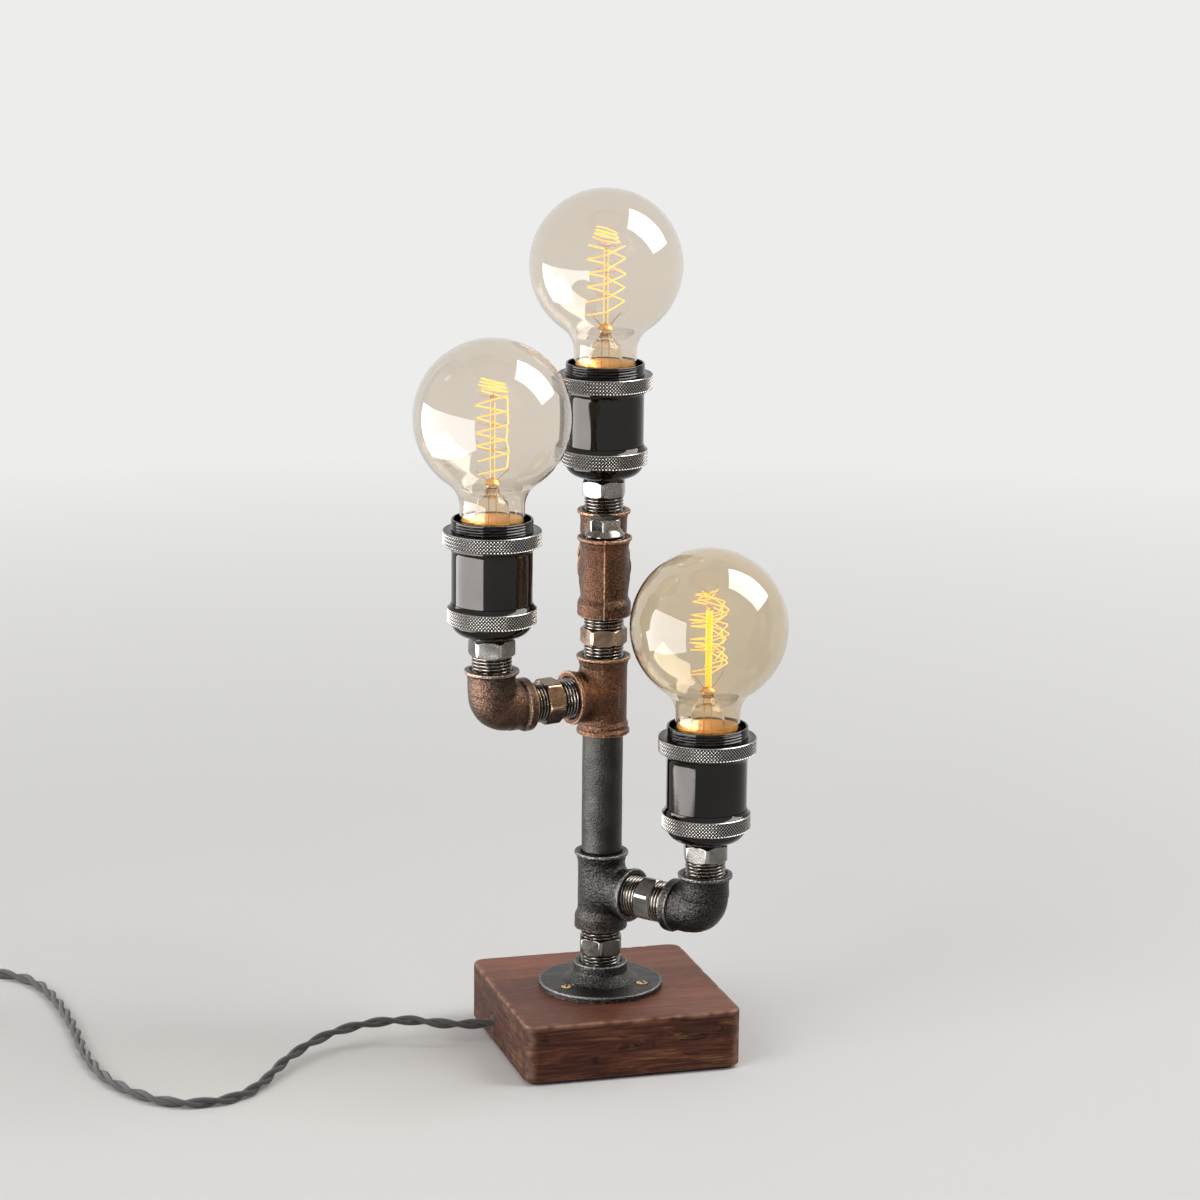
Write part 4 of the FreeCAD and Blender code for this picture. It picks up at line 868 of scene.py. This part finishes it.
def tee_shape(short_band=False, seam=False):
    """Distance to a tee about its centre, its run on Z and its branch along +X."""
    if short_band:
        foot = [(13.9, -FACE, 0.8), (13.9, -18.9, 0.5), (13.1, -17.6, 0.6), (13.3, -15.8, 0.8),
                (12.4, -13.6, 1.5)]
    else:
        foot = [(13.95, -FACE, 0.8), (13.95, -14.2, 1.4), (12.4, -11, 3)]
    run = filleted([(0, -FACE), *foot, (12.4, 15.2, 2), (13.0, 17.4, 0.8), (13.3, 18.9, 0.3),
                    (RIM_R, 19.4, 0.4), (RIM_R, FACE, 0.5), (0, FACE)])
    branch = filleted([(0, 0), (12.1, 0), (12.1, 13.4, 2.5), (13.4, 16.2, 1), (13.5, 18.6, 0.4),
                       (RIM_R, 19.2, 0.4), (RIM_R, FACE, 0.5), (0, FACE)])
    end = FACE + 1
    bore, branch_bore = ([(0, start), (BORE_R, start), (BORE_R, end), (0, end)] for start in (-end, 0))

    def distance(points):
        x, y, z = points.T
        around_run, around_branch = np.hypot(x, y), np.hypot(y, z)
        body = merged(outline_distance(around_run, z, run), outline_distance(around_branch, x, branch), 4.5)
        if seam:
            body = body - 0.4 * np.exp(-(y / 0.45) ** 2)
        body = outlines_out(body, around_run, z, bore, mouth(FACE, -1), mouth(-FACE, 1))
        return outlines_out(body, around_branch, x, branch_bore, mouth(FACE, -1))
    return distance, (-15, -15, -21.8), (21.8, 15, 21.8)


def elbow_shape():
    """Distance to an elbow in its arm's frame, with a level and an upright mouth."""
    bend, body_r, band_r, near = 8.0, 12.2, 13.95, REACH - FACE
    turn_x = REACH - bend
    level = filleted([(0, near), (band_r, near, 0.6), (band_r, near + 4.6, 0.6), (body_r, near + 5.6, 0.8),
                      (body_r, 58), (0, 58)])
    upright = filleted([(0, 9), (body_r, 9), (body_r, 15.4, 2), (12.9, 18.6, 0.8), (RIM_R, 19.4, 0.3),
                        (RIM_R, FACE, 0.4), (0, FACE)])

    def distance(points):
        x, y, z = points.T
        around_level, around_upright = np.hypot(y, z), np.hypot(x - REACH, y)
        ring = np.hypot(np.hypot(x - turn_x, z - bend) - bend, y)
        core = np.where((x > turn_x) & (z < bend), ring, np.where(x <= turn_x, around_level, around_upright))
        bands = merged(outline_distance(around_level, x, level),
                       outline_distance(around_upright, z, upright), 3)
        past = np.maximum(near - x, z - FACE)
        body = merged(np.maximum(core - body_r, past), bands, 1.2)
        body = carved(body, np.maximum(core - BORE_R, past - 2), 0.3)
        body = outlines_out(body, around_level, x, mouth(near, 1))
        return outlines_out(body, around_upright, z, mouth(FACE, -1))
    return distance, (near - 0.8, -15, -13), (82, 15, 21.8)


def flange_shape():
    """Distance to the floor flange about the column's axis, with its countersunk screw holes."""
    top = BLOCK_TOP + FLANGE_PLATE
    body = filleted([(0, BLOCK_TOP), (FLANGE_R, BLOCK_TOP, 0.5), (FLANGE_R, top - 0.2, 1.1),
                     (19.2, top + 0.25, 4.5), (HUB_R + 0.2, top + 5, 1.5), (HUB_R, FLANGE_TOP, 0.8),
                     (0, FLANGE_TOP)])
    sink = [(0, BLOCK_TOP - 1), (2.1, BLOCK_TOP - 1), (2.1, top - 2), (3.75, top - 0.1), (3.9, top + 1.5),
            (0, top + 1.5)]

    def distance(points):
        x, y, z = points.T
        r = np.hypot(x, y)
        shape = outline_distance(r, z, body)
        shape = outlines_out(shape, r, z, [(0, 30), (10.4, 30), (10.4, 50), (0, 50)], mouth(FLANGE_TOP, -1))
        for degrees in SCREW_ANGLES:
            hole_x, hole_y = on_circle(SCREW_CIRCLE_R, math.radians(degrees))
            shape = outlines_out(shape, np.hypot(x - hole_x, y - hole_y), z, sink)
        return shape
    return distance, (-33.5, -33.5, BLOCK_TOP - 0.6), (33.5, 33.5, FLANGE_TOP + 0.6)


def cast_form(distance, low, high):
    points, quads = surface(distance, low, high, STEP)
    return distance, points, quads, rim_wear_and_highlight(points, quads, distance)


def cast(node, form, place, material, seed, body):
    distance, points, quads, worn = form
    points = rough(points, distance, 0.16, 7.0, seed)
    points = rough(points, distance, 0.07, 1.3, seed + 3)
    piece(node + "_look", body, "iron", node, new_shell(points, quads), place, [material],
          sharp=50, weld=0, worn=worn)


def make_castings():
    cast("floor_flange", cast_form(*flange_shape()), shift(COLUMN_X), IRON, 2.0, "stand")
    tees = cast_form(*tee_shape()), cast_form(*tee_shape(short_band=True)), cast_form(*tee_shape(seam=True))
    elbows = [cast_form(*elbow_shape())] * len(ARMS)
    for kind, forms, irons, seed in (("_tee", tees, (IRON, IRON_WARM, IRON_WARM), 5.0),
                                     ("_elbow", elbows, (IRON, IRON_MIXED, IRON_WARM), 20.0)):
        for k, (arm, form, iron) in enumerate(zip(ARMS, forms, irons)):
            body = "stand" if forms is tees else arm + "_arm"
            cast(arm + kind, form, arm_place(arm), iron, seed + 3 * k, body)


def make_screws():
    """Raised countersunk heads with a cross recess, on their shanks."""
    crown_r, crown_depth = 9.1, 8.4

    def distance(points):
        x, y, z = points.T
        r = np.hypot(x, y)
        crown = np.hypot(r, z + crown_depth) - crown_r
        rim = (r + z) * 0.7071 - 2.45
        head = np.maximum(np.maximum(crown, rim), np.maximum(-2.2 - z, r - 3.45))
        arm_x, arm_y = np.minimum(abs(x), abs(y)), np.maximum(abs(x), abs(y))
        cross = np.maximum(np.maximum(arm_x - 0.55 + 0.12 * arm_y, arm_y - 2.2), -0.95 - z + 0.45 * arm_y)
        return carved(head, cross, 0.12)

    head = new_shell(*surface(distance, (-3.7, -3.7, -2.4), (3.7, 3.7, 0.9), 0.14))
    one = joined(head, solid_lathe([(0, -16), (1.7, -13), (1.7, -2), (0, -2)], 24))
    r = np.hypot(one[0][:, 0], one[0][:, 1])
    depth = np.sqrt(crown_r ** 2 - r ** 2) - crown_depth - one[0][:, 2]
    # 0 in the cross recess and round the rim, where the brass material paints shade
    worn = np.clip(1.15 - depth / 0.4, 0, 1) * np.clip((3.2 - r) / 0.4, 0, 1)
    heads = []
    for index, degrees in enumerate(SCREW_ANGLES):
        x, y, z = on_circle(SCREW_CIRCLE_R, math.radians(degrees), BLOCK_TOP + FLANGE_PLATE)
        heads.append(placed(one, shift(COLUMN_X + x, y, z) @ spin("Z", 25 + 40 * index)))
    piece("flange_screws_look", "stand", "screw_brass", "flange_screws", joined(*heads), shift(),
          [SCREW_BRASS], sharp=35, weld=0, worn=np.tile(worn, len(heads)))


make_castings()
make_screws()


# sockets

KNURL_CELL, KNURL_PITCH, KNURL_DEPTH = 1.75, 1.85, 0.55


def knurled(inner, radius, low, high):
    """Ring with a diamond knurl between two turned edges: pyramids left by two crossing sets of grooves."""
    edge, cells = 0.5, round(TURN * radius / KNURL_CELL)

    def relief(angle, z, r):
        across, up = angle * cells / TURN, (z - low) / KNURL_PITCH
        one, two = (1 - np.abs(2 * ((across + side) % 1) - 1) for side in (up, -up))
        shaped = (np.abs(r - radius) < 0.01) & (z > low + edge + 0.15) & (z < high - edge - 0.15)
        return np.where(shaped, -KNURL_DEPTH * (1 - np.minimum(one, two)), 0)

    rows = [(radius, z) for z in np.arange(low + edge, high - edge + 0.01, KNURL_PITCH / 7)]
    return lathe([(inner, low), (radius - edge, low), *rows, (radius, high - edge), (radius - edge, high),
                  (inner, high)], cells * 6, relief, tag=1)


def knurl_height(points, radius):
    """How far up its diamond each point lies, from 0 in a groove to 1; part way where it is smooth."""
    r = np.hypot(points[:, 0], points[:, 1])
    # the knurl's material paints shade into the grooves from this
    return np.where(r < radius - 1.3 * KNURL_DEPTH, 0.36, np.clip(1 + (r - radius) / KNURL_DEPTH, 0, 1))


def make_socket(arm):
    def part(name, body, slot, shell, materials, worn=None):
        piece(arm + name + "_look", arm + body, slot, arm + name, shell, riser_place(arm), materials,
              sharp=28, worn=worn)

    cap_r, ring_r, bore, crest, columns = 23.05, 25.45, 19.9, 21.15, 160
    dome = [(11.2 + 9.6 * math.sin(t), CAP_RING_LOW - 7.4 * math.cos(t) + 0.2)
            for t in np.linspace(0.1, 1.5, 14)]
    cap = [(5, RISER_TOP), (11.0, RISER_TOP), (11.3, RISER_TOP + 0.7), *dome, (22.1, CAP_RING_LOW + 0.1),
           (22.4, CAP_RING_LOW + 0.5), (22.4, CAP_RING_HIGH - 0.2), (22.45, CAP_RING_HIGH + 0.1),
           (21.9, CAP_RING_HIGH + 0.7), (21.45, CAP_RING_HIGH + 1.5), (21.1, BARREL_LOW + 0.2),
           (19.85, BARREL_LOW + 0.2), (19.85, 62.4), (17.9, 62.4), (17.9, 47.7), (14.9, 44.7), (5, 44.7)]
    body = joined(lathe(divided(cap, 1.5), columns), knurled(22.0, cap_r, CAP_RING_LOW, CAP_RING_HIGH))
    part("_socket_cap", "_arm", "socket_black", body, [MIRROR, KNURL], knurl_height(body[0], cap_r))

    cove = [(20.9 + 1.7 * (1 - math.cos(t)), FLARE_LOW + 3.3 * math.sin(t)) for t in np.linspace(0, 1.5, 10)]
    barrel = [(bore, BARREL_LOW + 0.25), (20.7, BARREL_LOW + 0.25), (20.9, BARREL_LOW + 0.45), *cove,
              (22.6, COLLAR_LOW), (bore, COLLAR_LOW)]
    top, foot = COLLAR_HIGH - 0.9, COLLAR_LOW - 0.2
    rows = [(crest, z) for z in np.arange(COLLAR_LOW, top, 0.12)]
    collar = [(bore, foot), (crest - 0.6, foot), *rows, (21.0, top + 0.1), (21.0, COLLAR_HIGH - 0.3),
              (20.75, COLLAR_HIGH), (20.15, COLLAR_HIGH), (bore, COLLAR_HIGH - 0.25)]
    part("_socket_shell", "_arm", "socket_black",
         joined(lathe(divided(barrel, 2), columns), lathe(collar, columns, thread_relief(crest, 0.5, 1.5))),
         [MIRROR])

    ring = knurled(21.25, ring_r, COLLAR_LOW + 0.1, COLLAR_LOW + 8.0)
    part("_shade_ring", "_ring", "ring_metal", ring, [MIRROR, KNURL], knurl_height(ring[0], ring_r))


# bulbs

def globe_line(inset):
    """Glass surface from the crown down to the neck's end, inset from the outside."""
    radius, neck, join = BULB_R - inset, NECK_R - inset, math.radians(55)
    line = [on_circle(radius, t) for t in np.linspace(math.pi / 2, -join, 44)]
    line = [(0, BULB_CENTRE + radius)] + [(r, BULB_CENTRE + z) for r, z in line[1:]]
    blend = (radius * math.cos(join) - neck) / (1 - math.cos(join))
    neck_z = line[-1][1] - blend * math.sin(join)
    line += [(neck + blend - blend * math.cos(t), neck_z + blend * math.sin(t))
             for t in np.linspace(join, 0, 14)[1:]]
    return line + [(neck, 103), (neck, 100.8), (neck - 0.4, 99.6), (12.9 - inset, 95.2), (11.6 - inset, 94.4),
                   (11.5 - inset, 90)]


def bent_wire(corners, radius, columns=8):
    """Tube through corners, with each corner a little rounded."""
    corners = np.asarray(corners, float)
    line = [corners[0]]
    for before, here, after in zip(corners, corners[1:], corners[2:]):
        line += [here + (before - here) * share for share in (0.12, 0.05)]
        line.append(here * 0.96 + (before + after) * 0.02)
        line += [here + (after - here) * share for share in (0.05, 0.12)]
    return tube(np.array(line + [corners[-1]]), radius, columns)


def strand(radius, low, high, corners, first, rise, jitter, taper):
    """Corners of one filament strand: a helix of straight runs with a few corners a turn."""
    points = []
    for k in range(int((high - low) / rise * corners) + 1):
        z = low + rise * k / corners
        angle = first + k * TURN / corners + rng.uniform(-0.12, 0.12)
        reach = radius * (1 - taper((z - low) / (high - low))) * (1 + rng.uniform(-jitter, jitter))
        points.append(on_circle(reach, angle, z + rng.uniform(-0.4, 0.4)))
    return points


def hood(radius, low, high, loops, corners, first):
    """Close loops at the filament's top, leaning a little."""
    points = []
    for k in range(loops * corners + 1):
        angle, share = first + k * TURN / corners, k / (loops * corners)
        reach = radius * (1 - 0.25 * share)
        level = low + (high - low) * share + 0.25 * reach * math.cos(angle - first)
        points.append(on_circle(reach, angle, level))
    return points


def even_taper(share):
    return 0.1 * max(0, (share - 0.85) / 0.15)


def cone_taper(share):
    return 0.12 * (1 - share) + 0.75 * max(0, (share - 0.72) / 0.28) ** 1.3


# filament: radius, low, high, corners a turn, azimuth of a corner, rise of a turn, strands, jitter, taper,
# and the hood's radius, low, high, loops and corners a loop
FILAMENTS = {
    "lower": (10.9, 127.5, 173, 4, 164, 12.6, 4, 0.16, cone_taper, None),
    "middle": (10.9, 124.5, 165.5, 4, 209, 14.8, 2, 0.02, even_taper, (8.0, 166.5, 172.0, 3, 12)),
    "top": (10.3, 125.5, 165, 4, 164, 15.0, 2, 0.03, even_taper, (7.0, 165.5, 171.5, 3, 12)),
}
ROD_SIDES = (164, 344)


def make_bulb(arm):
    def part(name, slot, shell, material, nodes="", sharp=60):
        piece(arm + name, arm + "_bulb", slot, nodes and arm + nodes, shell, riser_place(arm), [material],
              sharp)

    def heading(degrees):
        return np.array(on_circle(1, math.radians(degrees - ARMS[arm][1]), 0))

    lower = arm == "lower"
    part("_globe", "clear_glass", solid_lathe(globe_line(0) + globe_line(0.7)[::-1], 144),
         GLASS_AMBER_GLOW if lower else GLASS, "_bulb_glass")

    flare_in = [(0, 113.2), (4.2, 112.4), (7.2, 109.3), (8.0, 104), (8.5, 98.6), (10.3, 95.7)]
    flare_out = [(10.9, 95.9), (9.2, 98.8), (8.8, 104), (8.1, 109.8), (5.4, 113.6), (3.0, 115.6),
                 (2.4, 118.4), (1.35, 120.2), (1.3, 161.4), (1.9, 162.6), (1.7, 164), (0, 164.8)]
    part("_stem", "clear_glass", solid_lathe(divided(flare_in + flare_out, 2), 48), STEM_GLASS)

    # The liner, the cap's inside seen through the neck, and the bead at the pinch's top glow gold: painted
    # reflection of the filament's light.
    liner = [(0, 95.0), (11.4, 95.3), (12.2, 96.0), (15.5, 99.8), (15.75, 100.4), (15.95, 100.4),
             (15.8, 99.7), (12.4, 95.6), (11.5, 94.9), (0, 94.7)]
    bead = [(1.5, 121.0), (2.4, 120.6), (4.0, 119.3), (4.3, 118.5), (3.9, 118.3), (2.6, 118.9), (1.5, 119.0)]
    lining = joined(solid_lathe(divided(liner, 1.5), 96), lathe(divided(bead, 0.6), 40))
    lining[0][:, 2] += [0.5 * noise.noise(Vector(point) / 2.4) for point in lining[0]]
    part("_neck_liner", "cap_metal", lining, LINER, sharp=50)

    radius, low, high, corners, corner, rise, strands, jitter, taper, top = FILAMENTS[arm]
    first = math.radians(corner - ARMS[arm][1])
    wires = []
    for index in range(strands):
        start, turned = low + index * rise / strands, first + 4 * jitter * index
        wires.append(bent_wire(strand(radius, start, high, corners, turned, rise, jitter, taper),
                               0.36 - 0.6 * jitter))
    if top:
        wires.append(bent_wire(hood(*top, first), 0.3))
    part("_filament", "filament", joined(*wires), FILAMENT, "_bulb_filament")

    # The rod wires glow: painted filament light refracted in the stem's glass rod.
    thick, apart, material = (0.95, 0.75, CORE_GLOW) if lower else (0.34, 0.9, ROD_GLOW)
    rods = [bent_wire([heading(side) * apart + (0, 0, z) for z in (121, 127, 140, 161)], thick)
            for side in ROD_SIDES]
    part("_rod_wires", "filament", joined(*rods), material)

    # The support wires glow faintly: painted filament light on them.
    holders = []
    for side in ROD_SIDES:
        out = heading(side + 20)
        holders.append(bent_wire([out * reach + (0, 0, z) for reach, z in
                                  ((2.2, 96), (1.9, 114), (2.3, 120), (radius * 0.8, low + 1))], 0.24, 6))
    for level in (low + 0.3 * (high - low), low + 0.62 * (high - low), high - 1):
        for k in range(4):
            out = heading(corner + 45 + 90 * k)
            holders.append(bent_wire([(0, 0, level - 1.5), out * radius * 0.45 + (0, 0, level - 0.8),
                                      out * radius * 0.68 + (0, 0, level)], 0.15, 5))
    part("_support_wires", "filament", joined(*holders), HOOK)


for arm in ARMS:
    make_socket(arm)
for arm in ARMS:
    make_bulb(arm)


# wooden block

def rounded_square(side, corner, count):
    """Evenly spaced points and outward normals of a square with rounded corners."""
    half = side / 2
    straight = side - 2 * corner
    quarter = straight + corner * math.pi / 2
    points, normals = [], []
    for reach in np.arange(count) * 4 * quarter / count:
        index, rest = divmod(reach, quarter)
        point, normal = (half, rest - straight / 2), (1, 0)
        if rest >= straight:
            normal = on_circle(1, (rest - straight) / corner)
            point = (half - corner + corner * normal[0], half - corner + corner * normal[1])
        c, s = on_circle(1, index * math.pi / 2)
        points.append((c * point[0] - s * point[1], s * point[0] + c * point[1]))
        normals.append((c * normal[0] - s * normal[1], s * normal[0] + c * normal[1]))
    return np.array(points), np.array(normals)


def make_block():
    """Sawn block with hand-eased edges, small dents along its top edge and the hole for the cord."""
    count, half, low_edge, top_edge, corner_room = 560, BLOCK_SIDE / 2, 0.8, 1.5, 6
    outline, normals = rounded_square(BLOCK_SIDE, 7.0, count)
    profile = [(low_edge * (1 - math.sin(t)), BLOCK_LOW + low_edge * (1 - math.cos(t)))
               for t in np.linspace(0, math.pi / 2, 5)]
    profile += [(0, z) for z in np.linspace(BLOCK_LOW + 2, BLOCK_TOP - 3, 15)]
    profile += [(top_edge * (1 - math.cos(t)), BLOCK_TOP - top_edge * (1 - math.sin(t)))
                for t in np.linspace(0, math.pi / 2, 8)]
    profile += [(inset, BLOCK_TOP) for inset in np.linspace(3, 57, 28)]
    rows = []
    for inset, z in profile:
        ring = outline - normals * min(inset, corner_room)
        if inset >= corner_room:
            ring = ring * (1 - inset / half) / (1 - corner_room / half)
        rows.append(np.column_stack([ring, np.full(count, z)]))
    points = np.array(rows)
    edge = np.array([math.exp(-(inset / 1.3) ** 2 - ((BLOCK_TOP - z) / 1.3) ** 2) for inset, z in profile])
    corner = 0.4 * (2 * np.abs(normals).prod(axis=1)) ** 2
    worn = np.zeros((len(profile), count))
    for row, (inset, z) in enumerate(profile):
        on_side = inset < 1.6
        for column, normal in enumerate(normals):
            spot = Vector(points[row, column])
            dent = max(0, noise.noise(spot / 5 + Vector((7, 3, 1))) - 0.35) * 1.2
            away = np.array((*normal, 0.0)) if on_side else np.array((0, 0, 0.25))
            points[row, column] += away * noise.noise(spot / 30) * 0.12
            points[row, column] -= np.array((*normal, 0.8)) * dent * edge[row]
            wear = max(edge[row], corner[column] * on_side)
            worn[row, column] = np.clip(wear * (0.9 + 1.4 * noise.noise(spot / 4)), 0, 1)
    points[..., 2] = np.clip(points[..., 2], BLOCK_LOW, BLOCK_TOP + 0.05)
    block = add_piece("block_blank", stacked(points), shift(), [WOOD], weld=0, worn=worn.ravel())
    hole = add_piece("hole_blank", solid_lathe([(0, 0), (4.65, 0), (4.65, 16), (0, 16)], 48),
                     shift(-59.5, 13, 11.5) @ spin("Y", 90), [WOOD])
    cut = block.modifiers.new("cut", "BOOLEAN")
    cut.operation = "DIFFERENCE"
    cut.object = hole
    cut.solver = "EXACT"
    bpy.context.view_layer.update()
    mesh = bpy.data.meshes.new_from_object(block.evaluated_get(bpy.context.evaluated_depsgraph_get()))
    for helper in (block, hole):
        bpy.data.objects.remove(helper)
    finish_piece(add_object("block_look", mesh), "stand", "wooden_base")


make_block()


# switch and plug

def box_distance(points, centre, half, radius):
    q = np.abs(points - centre) - (np.array(half) - radius)
    return np.linalg.norm(np.maximum(q, 0), axis=1) + np.minimum(q.max(axis=1), 0) - radius


def make_switch():
    """In-line switch: a moulded two-part case with ribbed sleeves, and its dished rocker."""
    centre = np.array([SWITCH_X, SWITCH_Y, 0.009]) / MM
    half_length, sleeve_length = 23, 8

    def case(points):
        x, y, z = (points - centre).T
        body = box_distance(points, centre, (13, half_length, 9), 3.2)
        body = body + 0.35 * np.exp(-((z - 0.4) / 0.35) ** 2) * (np.abs(y) < half_length - 0.1)
        past = np.abs(y) - half_length
        taper = 5.3 - 1.35 * np.clip(past / sleeve_length, 0, 1) - 0.35 * (np.sin(past * 2.4) > 0.2)
        sleeve = np.maximum(np.hypot(x, z + 1.0) - taper, past - sleeve_length)
        body = merged(body, np.maximum(sleeve, -past - 2), 0.8)
        well, bezel = (np.maximum(np.maximum(np.abs(x) - wide, np.abs(y) - long), floor - z)
                       for wide, long, floor in ((6.0, 10.5, -1), (7.2, 11.7, 8.3)))
        return carved(carved(body, bezel, 0.3), well, 0.3)

    room = np.array((13.6, 31.6, 9.4))
    body = piece("switch_case_look", "stand", "black_plastic", "switch_body",
                 new_shell(*surface(case, centre - room, centre + room, 0.45)), shift(), [PLASTIC], weld=0)

    def slab(points):
        dish = 26 - np.hypot(points[:, 1], points[:, 2] - 30.2)
        return np.maximum(box_distance(points, (0, 0, 2.1), (5.5, 9.9, 3.0), 0.6), -dish)

    top = new_shell(*surface(slab, (-6, -10.5, -1.4), (6, 10.5, 5.6), 0.3))
    pin = placed(solid_lathe([(0, -6.4), (1.2, -6.4), (1.2, 6.4), (0, 6.4)], 24), spin("Y", 90))
    foot = stacked([[(2.7, 2.4, z), (-2.7, 2.4, z), (-2.7, -2.4, z), (2.7, -2.4, z)] for z in (-3.0, 0)])
    place = shift(*(np.array([SWITCH_X, SWITCH_Y, 0.0145]) / MM)) @ spin("X", 8)
    return body, piece("switch_rocker_look", "rocker", "rocker_plastic", "switch_rocker",
                       joined(top, pin, foot), place, [GLOSS_PLASTIC], weld=0)


def make_plug():
    """Flat two-pin plug with a ribbed strain relief, and pins with insulated roots."""
    tail = np.array((TAIL_X, PLUG_REAR, TAIL_Z)) / MM
    length = 56

    def case(points):
        x, y, z = (points - tail).T
        grow = np.clip((y - 19) / 12, 0, 1)
        grow = grow * grow * (3 - 2 * grow)
        thick = 4.9 + 1.95 * grow
        wide = np.maximum(7.0 + 10.65 * grow - thick, 0.1) * (1 - 0.05 * np.exp(-((y - 44) / 6) ** 2))
        flat = np.hypot(np.maximum(np.abs(x) - wide, 0), z) - thick
        body = np.maximum(flat, np.maximum(18 - y, y - length)) + 0.25 * np.exp(-(z / 0.3) ** 2) * (y > 20)
        rib = 0.44 * (np.cos(y * TURN / 3.4) > 0.1) * (y < 18)
        relief = np.maximum(np.hypot(x, z) - (3.65 + 0.05 * y + rib), np.maximum(-y, y - 24))
        front = np.maximum(np.abs(y - length) - 0.01, flat + 2)
        return np.minimum(merged(body, relief, 1.0), front)

    body = new_shell(*surface(case, tail - (18.4, 0.7, 7.5), tail + (18.4, length + 0.7, 7.5), 0.45))
    plug = piece("plug_look", "stand", "black_plastic", "plug_body", body, shift(), [PLASTIC], weld=0)
    sleeve = solid_lathe(filleted([(0, -3), (1.98, -3), (1.98, 9.8, 0.1), (1.8, 10, 0.05), (0, 10)]), 40, 1)
    blade = solid_lathe(filleted([(0, 9.5), (2.0, 9.5), (2.0, 17.6, 0.5), (1.5, 18.6, 0.6), (0, 19)]), 40)
    pins = [placed(joined(sleeve, blade), shift(*(tail + (x, length, 0))) @ spin("X", -90))
            for x in (-9.3, 9.3)]
    return plug, piece("plug_pins_look", "stand", "pin_metal", "plug_pins", joined(*pins), shift(),
                       [NICKEL, PLASTIC])


switch_pieces = make_switch()
plug_pieces = make_plug()

# CAD nodes that stay
dressed = {"felt_pad": FELT, "terminal_block": TERMINAL, "base_wiring": RUBBER, "cord_bushing": GLOSS_PLASTIC}
for arm in ARMS:
    for node, material in (("wires", RUBBER), ("socket_core", CERAMIC), ("socket_contacts", CONTACT_BRASS),
                           ("bulb_tip", GLOSS_PLASTIC), ("bulb_cap", NICKEL)):
        dressed[arm + "_" + node] = material
for node, material in dressed.items():
    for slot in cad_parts[node].material_slots:
        slot.material = material


# floor, world and lamps

BACKGROUND = (0.85, 0.845, 0.84)
CENTRE = (0, 0, 0.25)


def make_floor():
    """Pale floor that takes the lamp's shadow near by and runs into the background further off."""
    s = Shader("floor_paper", Roughness=0.9, Specular_IOR_Level=0.0)
    s.set(Base_Color=s.mix(s.noise(3, 2), (0.79, 0.785, 0.775), (0.81, 0.805, 0.795)))
    distance = s.node("VectorMath", {0: s.place()}, operation="LENGTH").outputs["Value"]
    fade = s.times(s.ramp(s.times(distance, 0.25), (0.12, 0), (0.4, 1)), s.seen())
    s.show("Material Output", fade, s.bsdf, s.node("Emission", {"Color": BACKGROUND}))
    side = 6000
    corners = [(-side, -side, 0), (side, -side, 0), (side, side, 0), (-side, side, 0)]
    add_piece("floor", new_shell(corners, [(0, 1, 2, 3)]), shift(z=-0.05), [s.material])


def make_world():
    world = bpy.data.worlds.new("studio")
    bpy.context.scene.world = world
    world.use_nodes = True
    s = Nodes(world.node_tree)
    light = s.tree.nodes["Background"]
    s.feed(light.inputs["Color"], (1, 0.995, 0.985))
    s.feed(light.inputs["Strength"], 0.42)
    s.show("World Output", s.seen(), light, s.node("Background", {"Color": BACKGROUND}))


def make_lamp(name, place, target, width, height, radiance, mirrored, through_glass=False):
    """Soft panel that lights the scene or, if mirrored, is only seen in gloss and perhaps through glass."""
    lamp = add_object(name, bpy.data.lights.new(name, "AREA"))
    lamp.data.shape = "RECTANGLE"
    lamp.data.size = width
    lamp.data.size_y = height
    lamp.data.energy = radiance * math.pi * width * height
    lamp.location = place
    lamp.rotation_euler = (Vector(target) - Vector(place)).to_track_quat("-Z", "Y").to_euler()
    lamp.visible_camera = False
    lamp.visible_diffuse = not mirrored
    lamp.visible_glossy = mirrored
    lamp.visible_transmission = through_glass


def bearing(azimuth, elevation, reach, height=CENTRE[2]):
    """Point at a direction and distance from the lamp's middle; azimuth is anticlockwise from +X."""
    a, e = math.radians(azimuth), math.radians(elevation)
    return on_circle(reach * math.cos(e), a, height + reach * math.sin(e))


make_floor()
make_world()
make_lamp("key_light", bearing(345, 50, 3.0), CENTRE, 1.6, 1.6, 5.2, False)
make_lamp("fill_light", bearing(212, 28, 3.0), CENTRE, 1.8, 1.8, 3.0, False)
make_lamp("softbox_right", bearing(352, 44, 1.7), CENTRE, 1.15, 1.45, 9, True, True)
make_lamp("panel_left", bearing(184, 0, 0.42, 0.2), (0, 0, 0.2), 0.78, 0.4, 9, True)

bpy.context.scene.view_settings.view_transform = "Standard"

bpy.context.view_layer.update()
